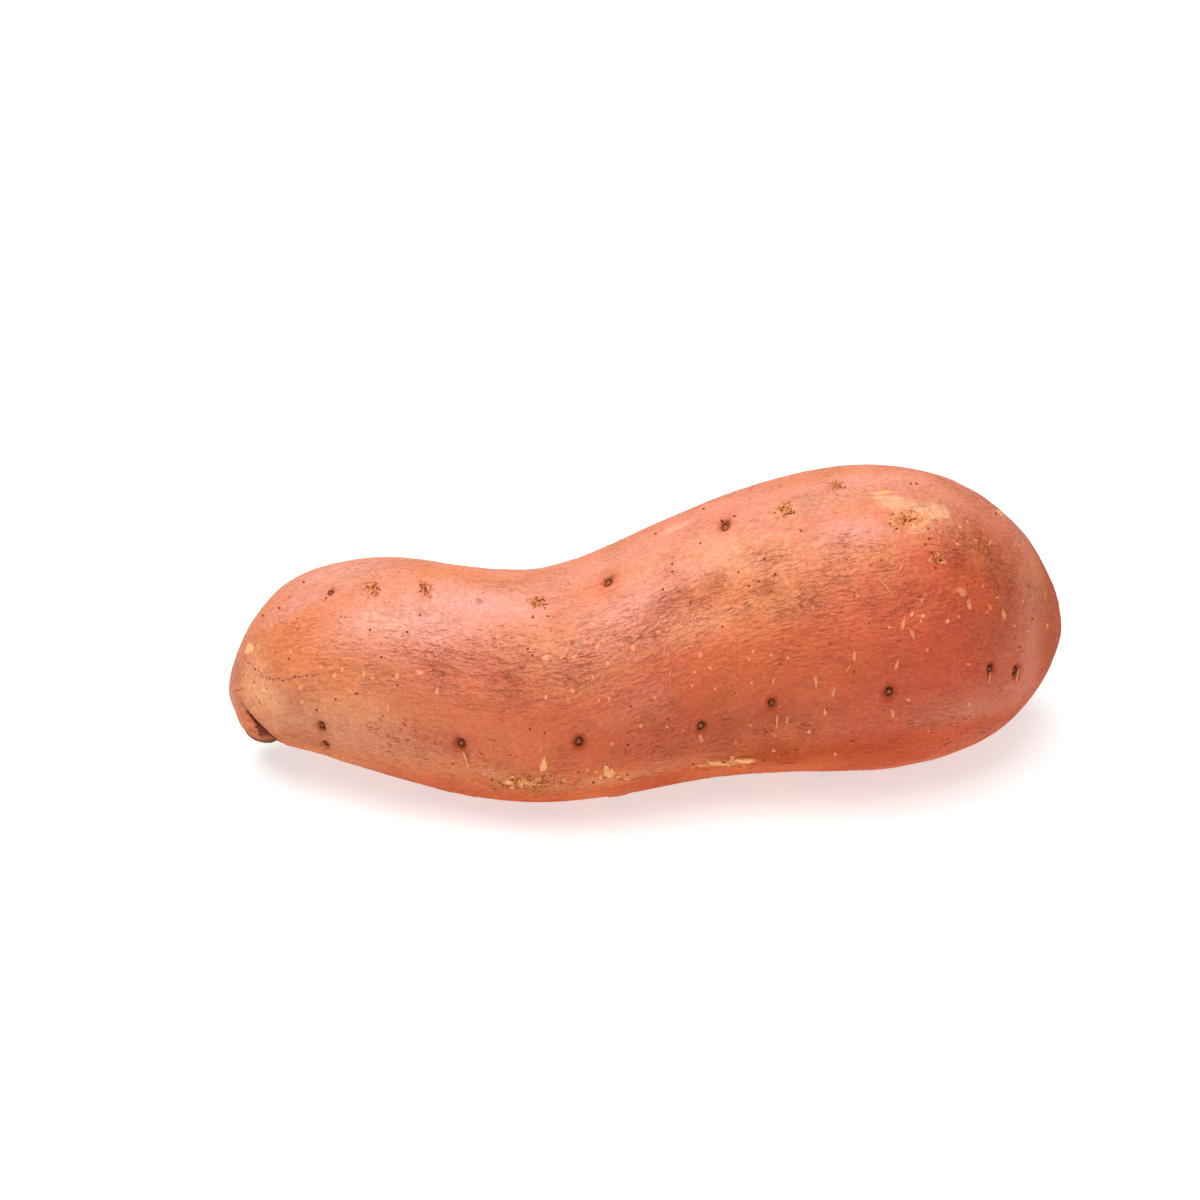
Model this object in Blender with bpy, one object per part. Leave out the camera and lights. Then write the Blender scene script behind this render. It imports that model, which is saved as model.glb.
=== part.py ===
"""A sweet potato: one storage root that grew as a single closed body.

The root is slim at the stem end, thick towards the tail, and bends in a gentle S as seen from above.
Its skin is one surface swept through slices, each an ellipse with a centre, two half sizes and a lean.
Places on the skin are given by reach, the way from the stem end along the outline, and by around, the
angle that starts at the back and climbs over the top to the front. The stem end hooks down into a short
stub with a dried cut scar, and the shoulder of the root overhangs the stub in a deep fold. Rows of eyes,
the scars of side roots, run along the skin, and the root rests on a small flat spot under its belly.

Sizes are in millimetres and angles in degrees until the mesh is made, which is in metres.
"""

import math
import random

import bmesh
import bpy
import numpy as np
from mathutils import Vector
from mathutils.geometry import delaunay_2d_cdt

MM = 0.001

# Centre along, back and up, half width, half height, and lean of the slice's top towards the tail
SLICES = np.array([
    (-84.0, -3.4, 5.6, 0.0, 0.0, -74),
    (-84.1, -3.5, 6.0, 2.9, 3.1, -74),
    (-84.4, -4.1, 8.8, 4.6, 4.7, -74),
    (-84.6, -5.0, 12.4, 5.5, 5.7, -67),
    (-84.6, -6.8, 15.6, 7.8, 7.3, -52),
    (-83.4, -6.8, 17.4, 11.2, 10.1, -38),
    (-81.4, -4.6, 18.7, 14.2, 13.0, -28),
    (-78.1, -2.6, 20.1, 17.2, 16.1, -21),
    (-74.5, -1.8, 21.6, 19.6, 18.6, -15),
    (-66.5, -2.9, 23.8, 22.4, 21.5, -4),
    (-48.5, -6.8, 24.6, 24.8, 24.1, 0),
    (-23.0, -11.1, 24.1, 25.4, 24.6, 0),
    (-2.5, -6.9, 26.8, 27.9, 27.3, 0),
    (15.5, -0.2, 29.2, 30.5, 29.8, 0),
    (34.5, 2.2, 31.6, 32.8, 32.4, 0),
    (51.5, 3.2, 32.3, 33.5, 33.0, 0),
    (65.5, 4.5, 31.2, 30.4, 29.9, 0),
    (75.5, 6.0, 29.1, 25.1, 24.6, 0),
    (83.0, 7.0, 28.2, 17.6, 17.3, 0),
    (88.0, 7.8, 27.5, 9.5, 9.3, 0),
    (90.5, 8.0, 26.8, 0.0, 0.0, 0),
])
MIRRORED_SLICES = 3

# Slow lobes of the flesh: height, lobes around, turn per millimetre of reach, start angle
SWELLS = ((0.30, 2, 0.050, 0.8), (0.22, 3, -0.085, 2.1), (0.18, 5, 0.120, 4.4))
TIP_FADE = 24.0

# Eyes that are sunken scars, and eyes that have healed with raised cork: reach, around and size
PIT_EYES = (
    (38.3, 182.5, 0.80), (38.2, 197.5, 0.75), (68.9, 179.2, 0.95), (94.1, 176.5, 1.05),
    (121.1, 182.0, 0.90), (136.4, 176.8, 0.90), (160.7, 174.8, 1.00), (183.8, 168.5, 0.85),
    (191.6, 173.5, 0.95), (41.4, 99.8, 0.55), (100.1, 98.8, 0.85), (126.6, 94.5, 0.95),
)
CORK_EYES = (
    (49.7, 102.5, 1.10), (61.5, 101.0, 1.10), (84.8, 100.8, 0.95), (139.4, 96.2, 1.15),
    (151.0, 88.0, 0.95), (164.2, 108.5, 1.30), (171.2, 124.2, 0.95),
)
EYE_ALONG = 1.3
EYE_ACROSS = 1.9
PIT_DEPTH = 1.1
PIT_LIP = 0.35
# Where the low ring round a pit stands and how wide it is, in eye sizes
PIT_LIP_PLACE = 1.6
PIT_LIP_WIDTH = 0.5
CORK_HEIGHT = 0.40
CORK_PIT = 0.7
# The crown of cork and the small pit in it, along and across the root, in eye sizes
CROWN_SIZE = (1.5, 1.2)
CORK_PIT_PLACE = (0.3, 0.4)
CORK_PIT_SIZE = (0.6, 0.4)

# Rows of eyes over the back and the underside
BACK_ROWS = (28.0, 247.0, 322.0)
FIRST_BACK_EYE = 38.0
LAST_BACK_EYE = 196.0
BACK_EYE_GAP = 24.0
BACK_EYE_SHIFT = 5.0
BACK_EYE_TURN = 5.0
BACK_EYE_SIZES = (0.6, 1.1)
SEED = 7

# The fold between the shoulder and the stub
FOLD_REACH = 22.2
FOLD_AROUND = 182.0
FOLD_SLOPE = 0.055
FOLD_SPREAD = 50.0
# The fold is at its full strength over the middle of its spread and eases out over this share of it
FOLD_END_EASE = 1.3
FOLD_DEPTH = 5.2
FOLD_WALL = 1.2
FOLD_EASE = 4.2
SHOULDER_LIP = 0.7
SHOULDER_EASE = 5.0

# The cut end of the stub
SCAR_RADIUS = 3.4
# The dish reaches up to its rim over this many scar radii
SCAR_DISH = 1.2
SCAR_DEPTH = 0.9
SCAR_RIM = 0.5
SCAR_RIM_WIDTH = 0.8

# The mesh: gaps between its points on the body and at both tips, and rings round each eye in eye sizes
BODY_GAP = 3.45
STEM_GAP = 0.9
TAIL_GAP = 1.5
STEM_EASE = 34.0
TAIL_EASE = 26.0
FEWEST_COLUMNS = 12
# Gaps along a ring near the tips, as a share of those on the body
TIP_GAP_SHARE = 0.6
# A staggered ring leaves out the place that would come this close to the seam, in gaps
SEAM_CLEARANCE = 0.25
FIRST_RING = 0.8
EYE_RINGS = (0.5, 1.0, 1.5, 2.1, 2.9)
EYE_COLUMNS = 11
EYE_CLEARANCE = 3.7
FOLD_LINES = (-6.0, -4.0, -2.4, -1.2, -0.5, 0.0, 0.3, 0.6, 0.9, 1.2, 1.8, 2.6, 3.6, 4.8, 6.4)
FOLD_GAP = 1.7
# Room left round the lines of the fold, in millimetres of reach and degrees around
FOLD_ROOM = 1.0
FOLD_ROOM_AROUND = 4.0
CONFORMAL_STEPS = 2000
SAME_POINT = 1e-7

SKIN_COLOUR = (0.64, 0.21, 0.10, 1.0)
SKIN_ROUGHNESS = 0.5


def smooth(t):
    """Zero up to 0, one from 1, and an S-shaped ease between."""
    t = np.clip(t, 0, 1)
    return t * t * (3 - 2 * t)


def slice_reach():
    """How far along the outline each slice lies from the stem end."""
    steps = np.diff(SLICES[:, [0, 1, 2, 4]], axis=0)
    return np.concatenate([[0], np.cumsum(np.linalg.norm(steps, axis=1))])


REACH = slice_reach()
ROOT_REACH = REACH[-1]


def natural_spline(knots, values, at):
    """Cubic curves through the values at the knots, with no jump in slope or in bend."""
    gap = np.diff(knots)
    count = len(knots)
    equations = np.eye(count)
    rises = np.zeros((count, values.shape[1]))
    slope = np.diff(values, axis=0) / gap[:, None]
    for i in range(1, count - 1):
        equations[i, i - 1:i + 2] = gap[i - 1], 2 * (gap[i - 1] + gap[i]), gap[i]
        rises[i] = 6 * (slope[i] - slope[i - 1])
    bend = np.linalg.solve(equations, rises)
    k = np.clip(np.searchsorted(knots, at) - 1, 0, count - 2)
    span = gap[k][:, None]
    b = ((at - knots[k]) / gap[k])[:, None]
    a = 1 - b
    curve = ((a ** 3 - a) * bend[k] + (b ** 3 - b) * bend[k + 1]) * span ** 2 / 6
    return a * values[k] + b * values[k + 1] + curve


def sections(reach):
    """The slice at each reach. Mirror images of the slices follow past each tip, so both tips are round."""
    more = MIRRORED_SLICES
    flip = np.array([1, 1, 1, -1, -1, 1])
    knots = np.concatenate([-REACH[more:0:-1], REACH, 2 * ROOT_REACH - REACH[-2:-2 - more:-1]])
    slices = np.concatenate([SLICES[more:0:-1] * flip, SLICES, SLICES[-2:-2 - more:-1] * flip])
    return natural_spline(knots, slices, reach)


def mean_radius(reach):
    """Half the thickness of the root at each reach."""
    return sections(reach)[:, 3:5].mean(axis=1)


def bare_skin(reach, around):
    """Points of the skin without its relief: an ellipse in each slice, leant about the slice's centre."""
    along, back, up, half_width, half_height, lean = sections(reach).T
    lean = np.radians(lean)
    height = half_height * np.sin(around)
    return np.stack([
        along + height * np.sin(lean),
        back + half_width * np.cos(around),
        up + height * np.cos(lean),
    ], axis=-1)


def outward(reach, around):
    """Directions straight out of the bare skin, turning to the line out of the tip close to each tip."""
    small_reach = 0.2
    small_turn = 0.01
    tip_depth = 2.0
    tip_blend = 1.0
    inner = np.clip(reach, small_reach, ROOT_REACH - small_reach)
    run = bare_skin(inner + small_reach, around) - bare_skin(inner - small_reach, around)
    turn = bare_skin(inner, around + small_turn) - bare_skin(inner, around - small_turn)
    normal = np.cross(turn, run)
    normal /= np.linalg.norm(normal, axis=1)[:, None]
    centre = sections(reach)[:, :3]
    deeper = sections(np.clip(reach, tip_depth, ROOT_REACH - tip_depth))[:, :3]
    tip = centre - deeper
    near_tip = smooth(1 - np.minimum(reach, ROOT_REACH - reach) / tip_blend)[:, None]
    never_zero = 1e-9
    tip /= np.maximum(np.linalg.norm(tip, axis=1), never_zero)[:, None]
    normal = normal * (1 - near_tip) + tip * near_tip
    return normal / np.linalg.norm(normal, axis=1)[:, None]


def swell(reach, around):
    """Slow lobes in the flesh: waves that wind round the root and fade at both tips."""
    fade = smooth(reach / TIP_FADE) * smooth((ROOT_REACH - reach) / TIP_FADE)
    waves = 0
    for height, lobes, winding, start in SWELLS:
        waves = waves + height * np.sin(lobes * around + winding * reach + start)
    return fade * waves


def eye_distance(reach, around, eye):
    """Way from an eye to each place on the skin, along the root and across it, in sizes of that eye."""
    eye_reach, eye_around, size = eye
    turn = (around - math.radians(eye_around) + math.pi) % (2 * math.pi) - math.pi
    along = (reach - eye_reach) / (size * EYE_ALONG)
    across = turn * mean_radius(np.array([eye_reach]))[0] / (size * EYE_ACROSS)
    return along, across


def pit_eye(reach, around, eye):
    """A sunken scar: a bell-shaped hollow, longer across the root, within a low ring."""
    spread = np.hypot(*eye_distance(reach, around, eye))
    lip = PIT_LIP * np.exp(-((spread - PIT_LIP_PLACE) / PIT_LIP_WIDTH) ** 2)
    return eye[2] * (lip - PIT_DEPTH * np.exp(-spread ** 2))


def cork_eye(reach, around, eye):
    """A healed scar: a low crown of cork with a small pit towards its front edge."""
    along, across = eye_distance(reach, around, eye)
    crown = np.hypot(along / CROWN_SIZE[0], across / CROWN_SIZE[1])
    pit_along = (along - CORK_PIT_PLACE[0]) / CORK_PIT_SIZE[0]
    pit_across = (across - CORK_PIT_PLACE[1]) / CORK_PIT_SIZE[1]
    pit = np.hypot(pit_along, pit_across)
    return eye[2] * (CORK_HEIGHT * np.exp(-crown ** 4) - CORK_PIT * np.exp(-pit ** 2))


def back_eyes():
    """Eyes over the back and the underside, in rows with uneven gaps."""
    rng = random.Random(SEED)
    eyes = []
    for row in BACK_ROWS:
        reach = FIRST_BACK_EYE + rng.uniform(0, BACK_EYE_GAP / 2)
        while reach < LAST_BACK_EYE:
            around = row + rng.uniform(-BACK_EYE_TURN, BACK_EYE_TURN)
            eyes.append((reach, around, rng.uniform(*BACK_EYE_SIZES)))
            reach += BACK_EYE_GAP + rng.uniform(-BACK_EYE_SHIFT, BACK_EYE_SHIFT)
    return eyes


def fold_side(reach, around):
    """Way from the fold's line towards the stub, and how strong the fold is there, from 0 to 1."""
    turn = np.degrees(around) % 360 - FOLD_AROUND
    line = FOLD_REACH + FOLD_SLOPE * turn
    return line - reach, smooth(FOLD_END_EASE * (1 - np.abs(turn) / FOLD_SPREAD))


def fold(reach, around):
    """The fold: a low lip on the shoulder, then a steep wall down, then an ease out over the stub."""
    towards_stub, strength = fold_side(reach, around)
    wall = smooth(towards_stub / FOLD_WALL)
    hollow = wall * np.exp(-(towards_stub / FOLD_EASE) ** 2)
    lip = (1 - wall) * np.exp(-(towards_stub / SHOULDER_EASE) ** 2)
    return strength * (SHOULDER_LIP * lip - FOLD_DEPTH * hollow)


def cut_scar(reach):
    """The stub's dried end: a shallow dish within a raised rim."""
    dish = smooth(SCAR_DISH - reach / SCAR_RADIUS)
    rim = np.exp(-((reach - SCAR_RADIUS) / SCAR_RIM_WIDTH) ** 2)
    return SCAR_RIM * rim - SCAR_DEPTH * dish


def relief(reach, around):
    """Height of everything that stands out of the bare skin or sinks into it."""
    height = swell(reach, around) + fold(reach, around) + cut_scar(reach)
    for eye in list(PIT_EYES) + back_eyes():
        height += pit_eye(reach, around, eye)
    for eye in CORK_EYES:
        height += cork_eye(reach, around, eye)
    return height


def ring_reaches():
    """Reach of each ring of points, closer together towards both tips."""
    reaches = [FIRST_RING]
    while reaches[-1] < ROOT_REACH - FIRST_RING:
        reach = reaches[-1]
        stem_gap = STEM_GAP + (BODY_GAP - STEM_GAP) * smooth(reach / STEM_EASE)
        tail_gap = TAIL_GAP + (BODY_GAP - TAIL_GAP) * smooth((ROOT_REACH - reach) / TAIL_EASE)
        reaches.append(reach + min(stem_gap, tail_gap))
    reaches[-1] = ROOT_REACH - FIRST_RING
    return reaches


def ring_places():
    """Places along each ring, staggered from ring to ring, from the seam at the back once round to it."""
    rings = []
    for i, reach in enumerate(ring_reaches()):
        radius = mean_radius(np.array([reach]))[0]
        from_tip = smooth(min(reach, ROOT_REACH - reach) / STEM_EASE)
        gap = BODY_GAP * (TIP_GAP_SHARE + (1 - TIP_GAP_SHARE) * from_tip)
        columns = max(FEWEST_COLUMNS, round(2 * math.pi * radius / gap))
        steps = np.arange(columns) + i % 2 / 2
        inner = 2 * math.pi * steps[steps > SEAM_CLEARANCE] / columns
        rings.append([(reach, angle) for angle in (0, *inner, 2 * math.pi)])
    return rings


def eye_places(eye):
    """Places in rings round an eye, and one in its middle."""
    eye_reach, eye_around, eye_size = eye
    radius = mean_radius(np.array([eye_reach]))[0]
    places = [(eye_reach, math.radians(eye_around))]
    for i, ring in enumerate(EYE_RINGS):
        for j in range(EYE_COLUMNS):
            angle = 2 * math.pi * (j + i % 2 / 2) / EYE_COLUMNS
            along = ring * eye_size * EYE_ALONG * math.cos(angle)
            across = ring * eye_size * EYE_ACROSS * math.sin(angle)
            places.append((eye_reach + along, math.radians(eye_around) + across / radius))
    return places


def fold_places():
    """Places in lines that follow the fold from one end to the other."""
    places = []
    for i, towards_stub in enumerate(FOLD_LINES):
        radius = mean_radius(np.array([FOLD_REACH - towards_stub]))[0]
        count = round(2 * math.radians(FOLD_SPREAD) * radius / FOLD_GAP)
        for j in range(count + 1):
            turn = FOLD_SPREAD * (2 * (j + i % 2 / 2) / count - 1)
            if turn <= FOLD_SPREAD:
                reach = FOLD_REACH + FOLD_SLOPE * turn - towards_stub
                places.append((reach, math.radians(FOLD_AROUND + turn)))
    return places


def clear_of_eyes(places, eyes, sizes):
    """Those places that keep the given distance, in eye sizes, from every eye."""
    reach, around = np.array(places).T
    free = np.ones(len(places), bool)
    for eye in eyes:
        free &= np.hypot(*eye_distance(reach, around, eye)) > sizes
    return [place for place, is_free in zip(places, free) if is_free]


def clear_of_fold(places):
    """Those places that lie outside the lines of the fold."""
    reach, around = np.array(places).T
    towards_stub = fold_side(reach, around)[0]
    outside = (towards_stub < FOLD_LINES[0] - FOLD_ROOM) | (towards_stub > FOLD_LINES[-1] + FOLD_ROOM)
    outside |= np.abs(np.degrees(around) - FOLD_AROUND) > FOLD_SPREAD + FOLD_ROOM_AROUND
    return [place for place, is_outside in zip(places, outside) if is_outside]


def skin_places():
    """Every place that becomes a corner of the mesh: the two rims, the seam at the back, and the rest."""
    eyes = list(PIT_EYES) + list(CORK_EYES) + back_eyes()
    rings = ring_places()
    inside = [place for ring in rings[1:-1] for place in ring[1:-1]]
    inside = clear_of_fold(clear_of_eyes(inside, eyes, EYE_CLEARANCE)) + fold_places()
    for eye in eyes:
        others = [other for other in eyes if other != eye]
        inside += clear_of_eyes(eye_places(eye), others, EYE_RINGS[-1])
    seam = [ring[0] for ring in rings[1:-1]]
    return rings[0], rings[-1], seam, inside


def conformal(places):
    """The skin laid flat so that small shapes keep their shape: around, and reach measured in radii."""
    reach, around = np.array(places).T
    steps = np.linspace(FIRST_RING, ROOT_REACH - FIRST_RING, CONFORMAL_STEPS)
    radii = mean_radius(steps)
    stretch = np.concatenate([[0], np.cumsum(np.diff(steps) * 2 / (radii[1:] + radii[:-1]))])
    return np.stack([around, np.interp(reach, steps, stretch)], axis=1)


def root_points(reach, around):
    """Points of the finished skin, flattened where it rests, centred over the origin."""
    points = bare_skin(reach, around) + relief(reach, around)[:, None] * outward(reach, around)
    points[:, 2] = np.maximum(points[:, 2], 0)
    middle = (points.min(axis=0) + points.max(axis=0)) / 2
    return points - middle * (1, 1, 0)


def skin_mesh():
    """The closed mesh: triangles between neighbouring places, sewn up at the seam, and a fan at each tip."""
    first, last, seam, inside = skin_places()
    far_seam = [(place[0], 2 * math.pi) for place in seam]
    places = first + last + seam + far_seam + inside
    flat = [Vector(point) for point in conformal(places)]
    triangles = delaunay_2d_cdt(flat, [], [], 0, SAME_POINT)[2]

    same = list(range(len(places)))
    same[len(first) - 1] = 0
    same[len(first) + len(last) - 1] = len(first)
    for i in range(len(seam)):
        same[len(first) + len(last) + len(seam) + i] = len(first) + len(last) + i

    mesh = bmesh.new()
    places += [(0, 0), (ROOT_REACH, 0)]
    points = root_points(*np.array(places).T) * MM
    corners = {i: mesh.verts.new(points[i]) for i in sorted(set(same))}
    stem_tip = mesh.verts.new(points[-2])
    tail_tip = mesh.verts.new(points[-1])
    for a, b, c in triangles:
        mesh.faces.new((corners[same[a]], corners[same[b]], corners[same[c]]))
    for i in range(len(first) - 1):
        mesh.faces.new((corners[same[i + 1]], corners[same[i]], stem_tip))
    for i in range(len(first), len(first) + len(last) - 1):
        mesh.faces.new((corners[same[i]], corners[same[i + 1]], tail_tip))
    return mesh


def skin_material():
    """Orange-pink skin with a soft sheen."""
    material = bpy.data.materials.new("sweet_potato_skin")
    material.use_nodes = True
    shader = material.node_tree.nodes["Principled BSDF"]
    shader.inputs["Base Color"].default_value = SKIN_COLOUR
    shader.inputs["Roughness"].default_value = SKIN_ROUGHNESS
    shader.inputs["Metallic"].default_value = 0.0
    return material


def sweet_potato():
    """The whole root as one object."""
    mesh = skin_mesh()
    data = bpy.data.meshes.new("sweet_potato")
    mesh.to_mesh(data)
    mesh.free()
    data.shade_smooth()
    data.materials.append(skin_material())
    root = bpy.data.objects.new("sweet_potato", data)
    bpy.context.scene.collection.objects.link(root)
    return root


for old in list(bpy.data.objects):
    bpy.data.objects.remove(old)
sweet_potato()
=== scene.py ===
"""The looks of the sweet potato: its finely wrinkled skin, its eyes and cork, and all that sticks to it.

Places on the skin are given as in the part's source: by reach, the way from the stem end along the
outline in millimetres, and by around, the angle that starts at the back and climbs over the top.
What the photograph shows is placed by its pixel there, which is followed through the camera to the skin.
Every surface is a formula over a grid, worked out in millimetres and stored in metres.
"""

import math
import random

import bpy
import numpy as np
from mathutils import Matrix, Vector


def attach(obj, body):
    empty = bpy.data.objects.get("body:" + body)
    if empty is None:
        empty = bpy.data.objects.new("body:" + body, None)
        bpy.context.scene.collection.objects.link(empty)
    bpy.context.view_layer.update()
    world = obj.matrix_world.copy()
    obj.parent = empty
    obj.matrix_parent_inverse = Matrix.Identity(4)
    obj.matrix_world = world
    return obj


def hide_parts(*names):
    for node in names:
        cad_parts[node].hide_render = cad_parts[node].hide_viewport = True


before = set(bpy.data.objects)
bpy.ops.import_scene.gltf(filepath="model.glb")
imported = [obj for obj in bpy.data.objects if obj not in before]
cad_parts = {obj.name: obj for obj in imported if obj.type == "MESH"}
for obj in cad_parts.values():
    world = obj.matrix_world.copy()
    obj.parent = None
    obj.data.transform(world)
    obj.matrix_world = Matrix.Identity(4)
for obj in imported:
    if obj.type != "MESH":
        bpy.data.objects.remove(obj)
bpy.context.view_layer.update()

MM = 0.001

# The root's shape, as in the part's source

SLICES = np.array([
    (-84.0, -3.4, 5.6, 0.0, 0.0, -74),
    (-84.1, -3.5, 6.0, 2.9, 3.1, -74),
    (-84.4, -4.1, 8.8, 4.6, 4.7, -74),
    (-84.6, -5.0, 12.4, 5.5, 5.7, -67),
    (-84.6, -6.8, 15.6, 7.8, 7.3, -52),
    (-83.4, -6.8, 17.4, 11.2, 10.1, -38),
    (-81.4, -4.6, 18.7, 14.2, 13.0, -28),
    (-78.1, -2.6, 20.1, 17.2, 16.1, -21),
    (-74.5, -1.8, 21.6, 19.6, 18.6, -15),
    (-66.5, -2.9, 23.8, 22.4, 21.5, -4),
    (-48.5, -6.8, 24.6, 24.8, 24.1, 0),
    (-23.0, -11.1, 24.1, 25.4, 24.6, 0),
    (-2.5, -6.9, 26.8, 27.9, 27.3, 0),
    (15.5, -0.2, 29.2, 30.5, 29.8, 0),
    (34.5, 2.2, 31.6, 32.8, 32.4, 0),
    (51.5, 3.2, 32.3, 33.5, 33.0, 0),
    (65.5, 4.5, 31.2, 30.4, 29.9, 0),
    (75.5, 6.0, 29.1, 25.1, 24.6, 0),
    (83.0, 7.0, 28.2, 17.6, 17.3, 0),
    (88.0, 7.8, 27.5, 9.5, 9.3, 0),
    (90.5, 8.0, 26.8, 0.0, 0.0, 0),
])
MIRRORED_SLICES = 3
SWELLS = ((0.30, 2, 0.050, 0.8), (0.22, 3, -0.085, 2.1), (0.18, 5, 0.120, 4.4))
TIP_FADE = 24.0
PIT_EYES = (
    (38.3, 182.5, 0.80), (38.2, 197.5, 0.75), (68.9, 179.2, 0.95), (94.1, 176.5, 1.05),
    (121.1, 182.0, 0.90), (136.4, 176.8, 0.90), (160.7, 174.8, 1.00), (183.8, 168.5, 0.85),
    (191.6, 173.5, 0.95), (41.4, 99.8, 0.55), (100.1, 98.8, 0.85), (126.6, 94.5, 0.95),
)
CORK_EYES = (
    (49.7, 102.5, 1.10), (61.5, 101.0, 1.10), (84.8, 100.8, 0.95), (139.4, 96.2, 1.15),
    (151.0, 88.0, 0.95), (164.2, 108.5, 1.30), (171.2, 124.2, 0.95),
)
EYE_ALONG = 1.3
EYE_ACROSS = 1.9
PIT_DEPTH = 1.1
PIT_LIP = 0.35
# Where the low ring round a pit stands and how wide it is, in eye sizes
PIT_LIP_PLACE = 1.6
PIT_LIP_WIDTH = 0.5
CORK_HEIGHT = 0.40
CORK_PIT = 0.7
# The crown of cork and the small pit in it, along and across the root, in eye sizes
CROWN_SIZE = (1.5, 1.2)
CORK_PIT_PLACE = (0.3, 0.4)
CORK_PIT_SIZE = (0.6, 0.4)
BACK_ROWS = (28.0, 247.0, 322.0)
FIRST_BACK_EYE = 38.0
LAST_BACK_EYE = 196.0
BACK_EYE_GAP = 24.0
BACK_EYE_SHIFT = 5.0
BACK_EYE_TURN = 5.0
BACK_EYE_SIZES = (0.6, 1.1)
SEED = 7
FOLD_REACH = 22.2
FOLD_AROUND = 182.0
FOLD_SLOPE = 0.055
FOLD_SPREAD = 50.0
# The fold is at its full strength over the middle of its spread and eases out over this share of it
FOLD_END_EASE = 1.3
FOLD_DEPTH = 5.2
FOLD_WALL = 1.2
FOLD_EASE = 4.2
SHOULDER_LIP = 0.7
SHOULDER_EASE = 5.0
SCAR_RADIUS = 3.4
# The dish reaches up to its rim over this many scar radii
SCAR_DISH = 1.2
SCAR_DEPTH = 0.9
SCAR_RIM = 0.5
SCAR_RIM_WIDTH = 0.8

# The camera of the photograph, in the part's frame

CAMERA_PLACE = np.array((-10.407, -539.464, 388.647))
CAMERA_LOOKS_DOWN = 33.0
LENS = 90.0
SENSOR = 36.0
PHOTO_SIDE = 1200
PIXELS_PER_MM = 4.62

# The skin's grid and small relief

ROWS_PER_BAND = 175
BANDS = ("skin_stem_end", "skin_waist", "skin_belly", "skin_tail_end")
COLUMNS = 560
LATTICE = 64
LUMPS = ((6.0, 0.12, 11), (2.5, 0.05, 12))
WRINKLE_HEIGHT = 0.25
WRINKLE_ALONG = 4.2
WRINKLE_ACROSS = 1.05
# A crease is where its noise is nearer to zero than this
WRINKLE_WIDTH = 0.32
# The noises that bend the creases, as size and seed, and how far each bends them
WRINKLE_BENDS = ((7.0, 21), (4.0, 22), (4.0, 23))
WRINKLE_BEND = (0.6, 0.7, 0.7)
# Creases outside the patches, and how they break off within one: a mean and a swing
FAINT_CREASES = (0.24, 0.22)
CREASE_BREAKS = (0.75, 0.5)
PATCH_STRETCH = 1.5
# The small knob in a pit: height, place across the root and size, in eye sizes
KNOB_HEIGHT = 0.5
KNOB_PLACE = -0.1
KNOB_SIZE = 0.33

# Patches with strong creases: reach, around, radius in millimetres and strength
WRINKLED_PLACES = (
    (52, 150, 8, 0.5), (66, 137, 9, 0.8), (80, 140, 9, 0.9), (96, 136, 9, 0.9), (110, 132, 9, 1.0),
    (122, 128, 9, 0.9), (134, 120, 8, 0.8), (140, 134, 9, 0.9), (152, 128, 9, 0.8), (160, 140, 8, 0.7),
    (182, 118, 9, 0.9), (192, 130, 8, 0.7), (58, 186, 9, 0.5), (86, 205, 9, 0.5), (112, 172, 9, 0.5),
    (150, 190, 10, 0.4), (60, 30, 12, 0.6), (96, 14, 14, 0.7), (136, 40, 12, 0.7), (160, 2, 14, 0.6),
    (188, 60, 9, 0.7), (120, 330, 14, 0.5), (170, 320, 12, 0.5), (76, 310, 10, 0.5),
)


def srgb(red, green, blue):
    """A colour as the eye reads it, from 0 to 255, as amounts of light from 0 to 1."""
    share = np.array((red, green, blue)) / 255
    return np.where(share <= 0.04045, share / 12.92, ((share + 0.055) / 1.055) ** 2.4)


ORANGE = srgb(228, 126, 72)
SALMON = srgb(228, 138, 98)
# Painted shade: the belly colours, darker and redder where the skin faces down, away from the light
BELLY_SHADE = srgb(202, 88, 44)
STEM_END_BELLY_SHADE = srgb(212, 128, 88)
ROSE = srgb(232, 140, 112)
PINK = srgb(236, 150, 122)
RED = srgb(204, 80, 50)
DEEP_RED = srgb(184, 66, 42)
# Painted shade along the bottom edge: ember, and rust there; elsewhere rust is a dark tone of the skin
RUST_TONE_AND_SHADE = srgb(172, 66, 24)
LOWER_RIM_SHADE = srgb(170, 52, 4)
FLAME = srgb(214, 78, 30)
TAN = srgb(228, 150, 104)
BARK_TAN = srgb(188, 112, 66)
GREY_PINK = srgb(202, 128, 94)
SAND = srgb(250, 178, 130)
OLIVE = srgb(192, 90, 40)
CREAM = srgb(244, 176, 134)
YELLOW = srgb(238, 172, 104)
# Painted highlight: the pale lilac sheen on the upper side
SHEEN_LILAC = srgb(238, 168, 158)
DUSTY = srgb(214, 150, 122)
# Partly the eyes' own dark brown, partly painted shade inside the pits
EYE_DARK_AND_SHADE = srgb(84, 30, 8)
EYE_EDGE = srgb(156, 80, 46)
EYE_RIM = srgb(66, 26, 10)
EYE_CENTRE = srgb(172, 106, 68)
CORK_LIGHT = srgb(186, 110, 68)
CORK_DARK = srgb(84, 50, 30)
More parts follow.
